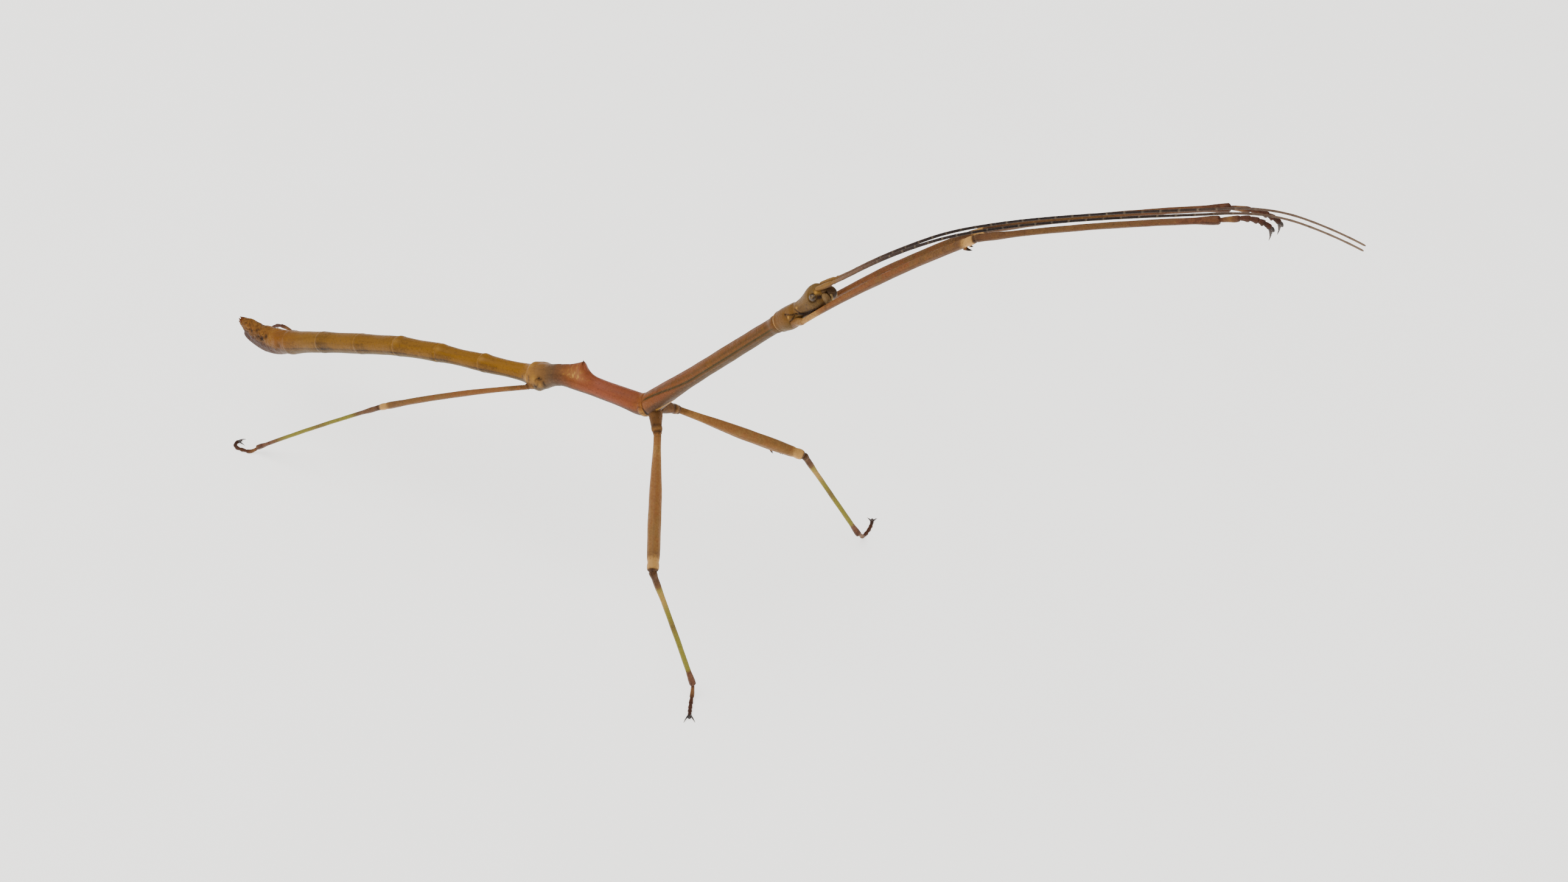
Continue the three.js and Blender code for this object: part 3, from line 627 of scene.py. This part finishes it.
def trunk_radius(s, angle):
    """Smooth-step run through each segment's three radii, as an ellipse of its width share, with
    swellings, passing over to the head at the neck, joined with the scoop by a high-power mean and
    rounded at both ends."""
    r = through(s, knots, heights)
    wide = through(s, knots, breadths)
    body = r / np.hypot(np.cos(angle), np.sin(angle) / wide)
    pass_over = rise(s - head_from, -0.3, 0.6)
    r = body * (1 - pass_over) + head_radius(s, angle) * pass_over
    r += swelling(s, angle) + trunk_relief(s, angle)
    r = (r**8 + (0.97 * scoop_reach(s, angle)) ** 8) ** 0.125
    return 0.985 * r * rounding(s, *TRUNK_SPAN)


# Strength of the dark band in front of each ring.
RING_DARK = (0.1, 0.34, 0.2, 0.18, 0.2, 0.2, 0.05)
# Distances along of the dusk in front of the hind legs and of the crest's pale flecks.
DUSK_AT, CREST_FLECKS_AT = 59.0, 61.2


def trunk_marks(s, angle):
    """Dark: a line along the flank, bands in front of the rings, tail pits, dusk in front of the hind legs,
    the line along the thorax, seam, painted shade low in front of the waist, folds, the painted shadow below
    the brow, cheek and eye sockets. Pale: ring edges, knobs, the tail's top, flecks on the crest, the
    collar, spots. Tint: bands and thorax line."""
    side = np.abs(around(angle, 0))
    dark, pale, tint = 0 * s, 0 * s, 0 * s
    low_edge = rise(side, 0.75, 0.35)
    abdomen = rise(s, 8, 3) * smooth((54 - s) / 1.5)
    flank = 0.2 * low_edge * (1 - rise(side, 1.75, 0.2)) + 0.34 * bump(side - 1.66, 0.09)
    dark += abdomen * flank
    for k, (ring, strength) in enumerate(zip(RINGS, RING_DARK)):
        reach = 2.1 + 0.5 * np.sin(3 * angle + k)
        band = rise(s - ring, 0.1, 0.25) * (1 - smooth((s - ring - reach) / 1.3))
        dark += strength * band * (0.7 + 0.3 * low_edge) + 0.16 * bump(s - ring + 0.28, 0.3)
        tint += 0.5 * strength * band
        beads = 0.55 + 0.45 * np.sin(17 * angle + k)
        pale += (0.15 if k == 0 else 0.5) * bump(s - ring, 0.05) * beads
    for ring in KNOBBED_RINGS:
        pale += 0.4 * spot(s, side, ring + 0.55, 0.45, 0.5)
    tail = 1 - rise(s, 6.5, 2.5)
    dark += 0.26 * tail * rise(side, 0.5, 1.2) + 0.1 * tail
    pale += 0.34 * tail * (1 - rise(side, 1.6, 0.6))
    for at, turn, size in TAIL_PITS:
        dark += (0.6 if size < 0.4 else 0.45) * spot(s, side, at, turn, 1.2 * size)
    for at, turn, size in KNOBS:
        pale += 0.5 * spot(s, side, at, turn, 0.75 * size)
        rim = np.hypot(s - at, SPOT_GIRTH * (side - turn)) - 1.25 * size
        dark += 0.5 * bump(rim, 0.09) * rise(side, 0.8, 0.3)
    dusk = bump(s - DUSK_AT, 2.3) * rise(side, 0.35, 0.9) * (1 - 0.5 * rise(side, 1.9, 0.5))
    dark += 0.36 * dusk
    flecks = bump(s - CREST_FLECKS_AT, 1.9) * bump(side - 0.5, 0.38)
    pale += 0.45 * flecks * smooth(1.6 * wave(s, 5 * angle, 0.1, 8) - 0.35) + 0.3 * flecks
    thorax = rise(s - waist, 0.6, 1.5) * smooth((head_from - 3.2 - s) / 1.2)
    line = side_line(s)
    below_line = smooth((side - line) / 0.2) * (side < 2.6)
    dark += 0.6 * thorax * bump(side - line, 0.045) + 0.14 * thorax * below_line
    tint += 0.9 * thorax * bump(side - line + 0.02, 0.13)
    tint += 0.45 * thorax * bump(side - line + 0.55, 0.22)
    pale += 0.8 * crease(s, side, *WAIST_FOLD, 0.12) + 0.35 * bump(s - seam + 0.25, 0.1) * low_edge
    dark += 0.45 * bump(s - seam, 0.1)
    # Painted shade low on the sides just in front of the waist, under the body above the middle hips.
    dark += 0.22 * bump(s - waist - 2.6, 1.5) * rise(side, 1.4, 0.4)
    on_plate = 0.12 * rise(s - collar, 1.2, 0.3) * (1 - smooth((s - head_from) / 0.4))
    pale += 0.8 * bump(s - collar - 1.25 + 0.1 * side, 0.1) + on_plate
    for at, turn, size, strength in PALE_SPOTS:
        pale += strength * spot(s, side, at, turn, size)
    for a, b, strength, width in PLATE_FOLDS:
        dark += strength * crease(s, side, a, b, width)
    dark += 0.7 * crease(s, side, *CHEEK_FOLD, 0.1)
    face = rise(s - head_from, 0.4, 0.5)
    dark += face * (0.32 * rise(side, 0.78, 0.3) + 0.22 * rise(side, 1.6, 0.25))
    socket = 0.28 * bump(from_eye(s, angle) - 0.58, 0.12)
    dark += socket + 0.85 * crease(s, side, *BROW_SHADE, 0.24)
    front = 0.35 * face * bump(side - 0.5, 0.2) * bump(s - brow - 0.7, 0.7)
    pale += 0.85 * spot(s, side, brow, BROW_ANGLE, 0.16) + front
    return layers(dark, pale, tint)


def on_head(along, left, up):
    """Point of the head at a distance along it, with offsets to the left and up."""
    s = head_from + along
    forward = axis.headings(s)
    return axis.places(s) + up * np.array([-forward[2], 0, forward[0]]) + np.array([0, left, 0])


TRUNK_SIDES = 60
# Stretches where rings of points lie closer: from, to and step. They are the tail, the crest, the
# waist, the head, and each ring.
CLOSER = [
    (1, 9, 0.13), (60, 64, 0.13), (waist - 0.4, waist + 1.8, 0.1), (head_from - 3.6, total - 2.2, 0.095),
    *[(ring - 0.35, ring + 0.5, 0.085) for ring in RINGS],
]
trunk_stations = [stations(0.26, *TRUNK_SPAN)] + [np.arange(*stretch) for stretch in CLOSER]
trunk_stations = np.unique(np.concatenate(trunk_stations).round(2))
skin = [tube(axis, trunk_stations, TRUNK_SIDES, trunk_radius, trunk_marks)]

# The thorn starts inside the back, and takes its colours from its place along the trunk.
thorn_base = axis.places(thorn_at) + np.array([0, 0, 1.6])
thorn_length = THORN["height"] + 0.45
thorn = spike(thorn_base, 0, 90 - THORN["lean"], thorn_length, THORN["radius"], 6, 0.72, sides=16)
thorn["lay"][..., 0] += thorn_at - 0.5
skin.append(thorn)

# Small blunt teeth round the tail's end: angle and length beyond the skin.
TEETH = ((0.0, 0.3), (-1.0, 0.34), (1.0, 0.34), (-2.0, 0.36), (2.0, 0.36), (3.1, 0.3))
TOOTH_RADIUS, TOOTH_ROOT = 0.34, 0.5
for turn, size in TEETH:
    base = axis.places(0.8) + 0.36 * np.array([0.3 * math.cos(turn), math.sin(turn), math.cos(turn)])
    azimuth, elevation = 180 + 10 * math.sin(turn), 22 + 14 * math.cos(turn)
    tooth = spike(base, azimuth, elevation, size + TOOTH_ROOT, TOOTH_RADIUS, 10, 0.75)
    tooth["lay"][..., 0] = 0.4
    skin.append(tooth)

# ---------------- legs


# The legs' number among the skin's finishes.
LEG_FINISH = 1
# By pair: height of the hip's ring, dusk on the hip, fullness below the thigh, how pale the
# thigh is, and how pale its base.
LEG_LOOKS = {
    "fore": (0.3, 0, 0.06, 0, 0.55), "mid": (0.45, 0.3, 0.2, 0.3, 0.2), "hind": (0.7, 0.12, 0.06, 0.2, 0),
}
# Ends of the foot's five joints, as shares of its length.
FOOT_JOINTS = np.array([0, 0.36, 0.54, 0.69, 0.8, 1.001])


def keeled(angle, height):
    """Four keels: the sixth power of the cosine of twice the angle, times the height."""
    return 1 + height * (np.cos(2 * angle) ** 6 - 0.3)


def leg_shells(pair, root, start, thigh, shin, spines, foot):
    """Cuticle of one leg: hip, thigh, its spines, shin and five-jointed foot, each a closed tube
    that starts inside the one before. Distance along runs 0 to 1 on the hip, 1 to 2 on the thigh,
    2 to 3 on the shin and 3 to 4 on the foot."""
    root, start = np.array(root, float), np.array(start, float)
    reach = np.linalg.norm(start - root)
    azimuth = math.degrees(math.atan2(*(start - root)[1::-1]))
    elevation = math.degrees(math.asin((start - root)[2] / reach))
    thin, full, knee = THIGH[pair]
    ring, hip_dusk, fullness, thigh_pale, base_pale = LEG_LOOKS[pair]
    long, shin_long, foot_long = FEMUR_LENGTH[pair], TIBIA_LENGTH[pair], foot[-1][0]
    shells = []

    def limb(index, length, line, step, span, sides, radius, marks, upwards=(0, 0, 1)):
        """Adds a tube whose distance along runs from the index to the next whole number."""
        part = tube(line, stations(step, *span), sides, radius, marks, upwards)
        part["lay"][..., 0] = index + np.clip(part["lay"][..., 0] / length, 0, 1)
        part["finish"] = LEG_FINISH
        shells.append(part)

    hip_span = (0, reach + 0.15, 0.3, 0.35)

    def hip_radius(s, angle):
        """Cone from the trunk to the thigh with a raised ring near its end, between two grooves."""
        r = HIP[pair] + (1.25 * thin - HIP[pair]) * smooth(s / reach)
        r += 0.12 * ring * bump(s - reach + 0.7, 0.3)
        r -= ring * (0.07 * bump(s - reach + 1.15, 0.14) + 0.06 * bump(s - reach + 0.3, 0.12))
        return (r + 0.03 * wave(s, angle, 0.3, 6)) * rounding(s, *hip_span)

    def hip_marks(s, angle):
        """Dark grooves and uneven dusk, and a pale ring, or on the fore pair a pale end."""
        joint = bump(s - reach + 1.15, 0.16) + bump(s - reach + 0.3, 0.14)
        dusk = hip_dusk * (0.7 + 0.5 * wave(s, angle, 0.35, 17))
        pale = 0.35 * smooth(s / reach) if pair == "fore" else 0.25 * bump(s - reach + 0.7, 0.3)
        return layers((0.15 if pair == "fore" else 0.32) * joint + dusk, pale)

    hip_line = arched(root, (azimuth, elevation, 0), reach)
    limb(0, reach, hip_line, 0.1, hip_span, 28, hip_radius, hip_marks)

    thigh_span = (-0.25, long + 0.12 * knee, 0.25, 0.7 * knee)

    def thigh_radius(s, angle):
        """Slim base, fullest past the middle, keeled, with a fold before the rounded knee."""
        t = s / long
        r = thin + (full - thin) * smooth(t / 0.55)
        r += (knee - r) * rise(t, 0.75, 0.2)
        r = r * keeled(angle, 0.09) * (1 - 0.2 * bump(t - 1.0, 0.02))
        below = fullness * np.maximum(0, -np.cos(angle)) ** 2
        r = r * (1 + below * bump(t - 0.6, 0.35) + 0.03 * wave(s, angle, 0.7, 11))
        r -= 0.1 * knee * bump(s - long + 1.3, 0.25)
        return 0.98 * r * rounding(s, *thigh_span)

    def thigh_marks(s, angle):
        """Pale end before a dark knee, darker lines between the keels, pale streaks and base."""
        t = s - long
        pale = rise(t, -2.3, 1.4) * (1 - rise(t, -0.55, 0.3))
        dark = 0.5 * rise(t, -0.6, 0.3) + 0.22 * bump(np.sin(2 * angle), 0.35) * smooth(s / 3)
        dark += 0.1 * bump(t + 1.6, 0.4)
        pale += thigh_pale * smooth(s / 3) * smooth(-t / 3)
        pale += base_pale * (1 - rise(s, 1.6, 2.4))
        return layers(dark * (1 - 0.8 * pale), 0.9 * pale)

    thigh_line = arched(start, thigh, long)
    thigh_up = heading(thigh[0], thigh[1] + 90)
    limb(1, long, thigh_line, 0.24, thigh_span, 24, thigh_radius, thigh_marks, thigh_up)
    for before, size in spines:
        below = (1.08 if pair == "mid" else 0.9) * knee
        base = thigh_line.places(long - before) - below * thigh_up
        spine = spike(base, thigh[0], thigh[1] - 62, size, 0.2 * size + 0.05, -35, 0.25)
        spine["lay"][..., 0] = 1.6
        spine["finish"] = LEG_FINISH
        shells.append(spine)

    shin_line = arched(thigh_line.places(long), shin, shin_long)
    shin_span = (-0.3, shin_long + 0.1, 0.35, 0.25)
    slim = SHANK[pair]

    def shin_radius(s, angle):
        """Knuckle at the knee, then a keeled shank that widens at the ankle."""
        r = slim + 0.1 * bump(s - 1.6, 1.5) + 0.11 * rise(s - shin_long, -2.4, 2)
        r += 0.35 * (knee - slim) * bump(s - 0.1, 0.5)
        r = r * keeled(angle, 0.1) * (1 + 0.03 * wave(s, angle, 0.6, 12))
        return 0.96 * r * rounding(s, *shin_span)

    def shin_marks(s, angle):
        """Olive stretches on the middle and hind pairs, brown knee and ankle, darker lines."""
        t = s / shin_long
        olive = {
            "fore": 0.15 * bump(t - 0.4, 0.3),
            "mid": rise(t, 0.1, 0.05) * (1 - rise(t, 0.84, 0.05)),
            "hind": rise(t, 0.12, 0.12) * (1 - rise(t, 0.7, 0.2)),
        }[pair]
        olive = 0.85 * olive * (1 - 0.5 * bump(t - 0.46, 0.07))
        dark = 0.25 * bump(np.sin(2 * angle), 0.3) + 0.35 * bump(t, 0.03) + 0.3 * rise(t, 0.9, 0.08)
        if pair == "mid":
            dark += 0.3 * bump(t - 0.06, 0.05) + 0.2 * bump(t - 0.46, 0.03)
        return layers(dark, 0.5 * bump(t - 0.22, 0.1) * (pair == "mid"), olive)

    shin_up = thigh_line.headings(0) if abs(shin[1]) > 50 else (0, 0, 1)
    limb(2, shin_long, shin_line, 0.22, shin_span, 20, shin_radius, shin_marks, shin_up)

    foot_line = Course(shin_line.places(shin_long), foot, foot_long)
    foot_span = (-0.15, foot_long - 0.25, 0.2, 0.3)
    joints = FOOT_JOINTS * foot_long

    def joint_share(s):
        """Share of its joint's length at which s lies."""
        k = np.clip(np.searchsorted(joints, s, side="right") - 1, 0, 4)
        return (s - joints[k]) / (joints[k + 1] - joints[k])

    def foot_radius(s, angle):
        """Five joints: each widens towards its end over a pad below, with a narrow neck between."""
        t = joint_share(s)
        pad = 0.22 * bump(t - 0.72, 0.22) * np.maximum(0, -np.cos(angle))
        r = TARSUS_RADIUS * (0.82 + 0.24 * smooth(t) - 0.16 * bump(t, 0.1) - 0.14 * bump(t - 1, 0.06) + pad)
        return r * rounding(s, *foot_span)

    def foot_marks(s, angle):
        """Dark necks, and a paler first joint."""
        t = joint_share(s)
        return layers(0.3 * bump(t, 0.12) + 0.25 * bump(t - 1, 0.1), 0.25 * bump(s - 0.9, 0.7))

    limb(3, foot_long, foot_line, 0.06, foot_span, 16, foot_radius, foot_marks)
    return shells, foot_line, foot_long


# Two claws and a pad end each foot. On a foot that lies level the claws first rise.
CLAW_LIFT = 18
PAD = {"halves": (0.3, 0.24, 0.16), "up": 0.04, "mark": (0.3, 0.4, 0)}
claws = []
for leg in LEGS:
    shells, foot_line, foot_long = leg_shells(*leg)
    skin += shells
    end_azimuth, end_elevation = foot_line.turns[-1, 1:]
    lift = CLAW_LIFT if end_elevation > -10 else 0
    for side in (-1, 1):
        claws.append(spike(
            foot_line.places(foot_long - 0.5), end_azimuth + side * CLAW["spread"], end_elevation + lift,
            CLAW["length"], CLAW["radius"], CLAW["droop"], 0.35, sides=12,
        ))
    pad = foot_line.places(foot_long - 0.1) + np.array([0, 0, PAD["up"]])
    claws.append(oval(pad, PAD["halves"], end_elevation, end_azimuth, mark=PAD["mark"]))

# ---------------- finishes

# Body cuticle: golden ochre behind, red-brown before the hind legs, brown in front. The place of
# each colour is millimetres from the tail tip over the trunk's length.
cuticle_trunk = cuticle(
    "insect_cuticle_body_satin", float(total),
    [(0, "#723b13"), (0.05, "#703a0d"), (0.08, "#835116"), (0.13, "#855b17"), (0.3, "#845910"),
     (0.49, "#8e5e0b"), (0.505, "#a26f2e"), (0.54, "#62462c"), (0.565, "#81441d"), (0.6, "#924d32"),
     (0.65, "#884828"), (0.665, "#874d1d"), (0.7, "#7a3f12"), (0.8, "#714210"), (0.9, "#693e10"),
     (0.95, "#6f4d1f"), (0.985, "#6d5124"), (1, "#7d5221")],
    # Underside tones: the body's own darker underside with painted shade in them.
    [(0, "#4f1f08"), (0.06, "#4a240b"), (0.1, "#563e19"), (0.3, "#594829"), (0.49, "#56431b"),
     (0.53, "#544028"), (0.62, "#4f3225"), (0.68, "#4a3019"), (0.8, "#50391b"), (0.9, "#4c3517"),
     (0.95, "#543d16"), (1, "#583b17")],
    "#2a1706", "#b78434", "#40350a", rugged_to=7.5,
)
# Leg cuticle: brown, darker towards the foot. Hip, thigh, shin and foot take a quarter each.
cuticle_leg = cuticle(
    "insect_cuticle_leg_satin", 4.0,
    [(0, "#6c4620"), (0.24, "#6c4620"), (0.26, "#835428"), (0.35, "#7c4925"), (0.45, "#734f28"),
     (0.5, "#644328"), (0.52, "#644024"), (0.62, "#6d4b29"), (0.74, "#6e432a"), (0.76, "#5b3420"),
     (0.95, "#4b2a1d"), (1, "#3b251d")],
    # Underside tones: the legs' own darker undersides with painted shade in them.
    [(0, "#4e341d"), (0.3, "#603e21"), (0.5, "#583a21"), (0.75, "#583a2a"), (1, "#36231a")],
    "#271507", "#bd8d4c", "#857d20",
)
# Eye: a dome of fine lenses under clear cuticle, so nearly smooth and glossy.
EYE_TONES = [(0, "#34261a"), (0.5, "#54402b"), (1, "#75603f")]
eye_lens = plain_shine("eye_lens_clear_cuticle", EYE_TONES, 2600, 0.24, shine=0.3)
# Claw: thick dark cuticle, worn smooth.
claw_horn = plain_shine("claw_dark_horn_worn", [(0, "#231d1b"), (1, "#54463f")], 1500, 0.35)

flesh = [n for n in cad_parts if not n.startswith(("eye", "feeler", "mouth"))]
piece("skin", skin, [cuticle_trunk, cuticle_leg], flesh)
piece("claws", claws, [claw_horn])

# ---------------- eyes, mouthparts and feelers

for side, label in ((-1, "right"), (1, "left")):
    centre = on_head(EYE["along"], side * EYE["out"], EYE["up"])
    r = EYE["radius"]
    eye = oval(centre, (r, 0.9 * r, r), HEAD_PITCH, rows=30, sides=40)
    piece(f"eye_lens_{label}", [eye], [eye_lens], [f"eye_{label}"])

# Lip, and the plate above it: place on the head (along, left, up), half lengths, turn down from
# the head's pitch, and mark.
LIP = ((5.4, 0, 0.15), (0.58, 0.53, 0.73), 20, (0.55, 0, 0))
LIP_PLATE = ((4.9, 0, 0.75), (0.5, 0.6, 0.4), 10, (0.3, 0, 0))
# Jaw lobe of each side, with its turn outwards after its turn down.
JAW = ((4.8, 0.62, -0.05), (0.55, 0.34, 0.72), 15, 6, (0, 0.25, 0))
# Palps on both sides: place on the head and length, and their radius.
PALPS = ((5.2, 0.62, 0.35, 1.3), (5.6, 0.45, 0.2, 1.0))
PALP_RADIUS = 0.13


def palp_shell(place, length, side):
    """Feeler of the mouth: three joints, with a neck at each sine's zero, that curl down and in."""
    bends = [(0, side * 20, HEAD_PITCH - 95), (length, side * -30, HEAD_PITCH - 150)]
    span = (0, length, 0.15, 0.15)

    def radius(s, angle):
        neck = 0.03 * bump(np.sin(3 * math.pi * s / length), 0.3)
        return (PALP_RADIUS - neck) * rounding(s, *span)

    def marks(s, angle):
        return layers(0.1 + 0 * s, 0.5)

    return tube(Course(place, bends, length), stations(0.06, *span), 14, radius, marks, (1, 0, 0))


mouth = []
for (place, halves, turn, mark), rows, sides in ((LIP, 24, 28), (LIP_PLATE, 20, 24)):
    mouth.append(oval(on_head(*place), halves, HEAD_PITCH - turn, rows=rows, sides=sides, mark=mark))
for side in (-1, 1):
    (along, out, high), halves, turn, yaw, mark = JAW
    place = on_head(along, side * out, high)
    mouth.append(oval(place, halves, HEAD_PITCH - turn, side * yaw, 24, 24, mark))
    for along, out, high, length in PALPS:
        mouth.append(palp_shell(on_head(along, side * out, high), length, side))
# Mouth cuticle: the same film of wax over grey-brown plates, less grained.
cuticle_mouth = cuticle(
    # The second list holds the underside tones, partly painted shade.
    "insect_cuticle_mouth_satin", 4.0, [(0, "#6b4c2a"), (1, "#5c4228")], [(0, "#463019"), (1, "#463019")],
    "#261a10", "#b0935f", "#6b5138", 0.5, 0.8,
)
piece("mouth_plates_and_palps", mouth, [cuticle_mouth], ["mouthparts"])

# Feeler cuticle: thin and flexible, pale at the base and tip, and nearly black between.
cuticle_feeler = cuticle(
    "insect_cuticle_feeler_satin", FEELER_LENGTH,
    [(0, "#8c6530"), (0.03, "#8c6530"), (0.05, "#7f6048"), (0.1, "#6f523f"), (0.17, "#43322a"),
     (0.28, "#2e2320"), (0.6, "#2a201d"), (0.72, "#3b2c25"), (0.84, "#6f5747"), (1, "#8d7562")],
    # Underside tones, partly painted shade.
    [(0, "#6f4f25"), (0.05, "#634a39"), (0.17, "#33271f"), (0.75, "#31261f"), (1, "#72604f")],
    "#17100d", "#a8957a", "#6b5138", 0.55, 0.7,
)
# Length of a feeler's joint. Each feeler starts a little inside the head.
JOINT_STEP = 1.7
FEELER_ROOT = -0.6
FEELER_SPAN = (FEELER_ROOT, FEELER_LENGTH, 0.3, 0.3)


def feeler_radius(s, angle):
    """Stout base joint, a bead, then a slowly thinning lash with a swelling at each joint."""
    lash = 0.19 - 0.07 * smooth(s / 30) - 0.03 * rise(s, 40, 17)
    lash += 0.01 * bump(np.abs((s / JOINT_STEP + 0.5) % 1 - 0.5), 0.12)
    base = (0.25 + 0.05 * bump(s - 0.9, 0.8)) * rounding(s, FEELER_ROOT, SCAPE, 0.5, 0.35)
    bead = 0.23 * bump(s - SCAPE - 0.3, 0.35)
    thickest = np.maximum(np.maximum(lash * smooth((s - FEELER_ROOT) / 0.3), base), bead)
    return thickest * rounding(s, *FEELER_SPAN)


def feeler_marks(s, angle):
    """Pale ring at the start of each joint, most of all on the dark stretch, dark at its end."""
    phase = (s / JOINT_STEP) % 1
    dark_part = rise(s, 5, 5) * (1 - rise(s, 44, 8))
    joint = bump(phase - 0.08, 0.07) * (s > SCAPE)
    dark = 0.3 * bump(phase - 0.92, 0.1) * (s > 4)
    return layers(dark, 0.34 * joint * (0.25 + 0.75 * dark_part))


for side, label in ((-1, "right"), (1, "left")):
    line = Course(FEELER_START, [(s, 0, e) for s, e in FEELER_TURNS], FEELER_LENGTH)
    line.points[:, 1] = side * np.interp(line.marks, *np.transpose(FEELER_APART))
    lash = tube(line, stations(0.12, *FEELER_SPAN), 18, feeler_radius, feeler_marks)
    piece(f"feeler_{label}", [lash], [cuticle_feeler],
          [f"feeler_{label}_{part}" for part in ("base", "middle", "tip")])

# ---------------- floor, light and camera

# Floor: matt white card lit softly from behind, which keeps shadows faint.
card = plain_shine("studio_card_matt", [(0, "#f2f1ee"), (1, "#f6f5f3")], 40, 0.9, height=0.0, glow=1.5)
floor_mesh = bpy.data.meshes.new("floor")
FLOOR_HALF = 4.0
corners = [(FLOOR_HALF * x, FLOOR_HALF * y, 0) for x, y in ((-1, -1), (1, -1), (1, 1), (-1, 1))]
floor_mesh.from_pydata(corners, [], [(0, 1, 2, 3)])
floor_mesh.materials.append(card)
floor = bpy.data.objects.new("floor", floor_mesh)
bpy.context.collection.objects.link(floor)

LIGHT_TARGET = (0, 0, 0.03)


def softbox(name, place, size, watts):
    """Square area light at a place in metres, turned to face the middle of the insect."""
    light = bpy.data.lights.new(name, "AREA")
    light.size, light.energy = size, watts
    obj = bpy.data.objects.new(name, light)
    obj.location = place
    aim = np.array(LIGHT_TARGET) - np.array(place)
    tilt, turn = math.acos(-aim[2] / np.linalg.norm(aim)), math.atan2(-aim[0], aim[1])
    obj.rotation_euler = (tilt, 0.0, turn)
    bpy.context.collection.objects.link(obj)


softbox("key_softbox", (-0.25, -0.1, 0.75), 0.6, 4.5)
softbox("fill_softbox", (0.6, -0.3, 0.8), 0.8, 1.5)
# Even light from all round, at less than half strength.
world = bpy.data.worlds.new("studio_air")
world.use_nodes = True
background = world.node_tree.nodes["Background"]
background.inputs[0].default_value = linear("#ffffff")
background.inputs[1].default_value = 0.42
bpy.context.scene.world = world

# Camera: its place above the insect's right side in the insect's frame, and its turn from the
# body's left and its tilt below the horizon, in degrees.
CAMERA_AT = np.array([79.514, -116.985, 150.0])
CAMERA_TURN, CAMERA_TILT = 27.532, 42.392
lens = bpy.data.cameras.new("camera")
lens.sensor_width = 36.0
lens.lens = 34.75
lens.clip_start = 0.005
camera = bpy.data.objects.new("camera", lens)
camera.location = (CAMERA_AT - CENTRE) * MM
camera.rotation_euler = (math.radians(90 - CAMERA_TILT), 0.0, math.radians(CAMERA_TURN))
bpy.context.collection.objects.link(camera)
bpy.context.scene.camera = camera
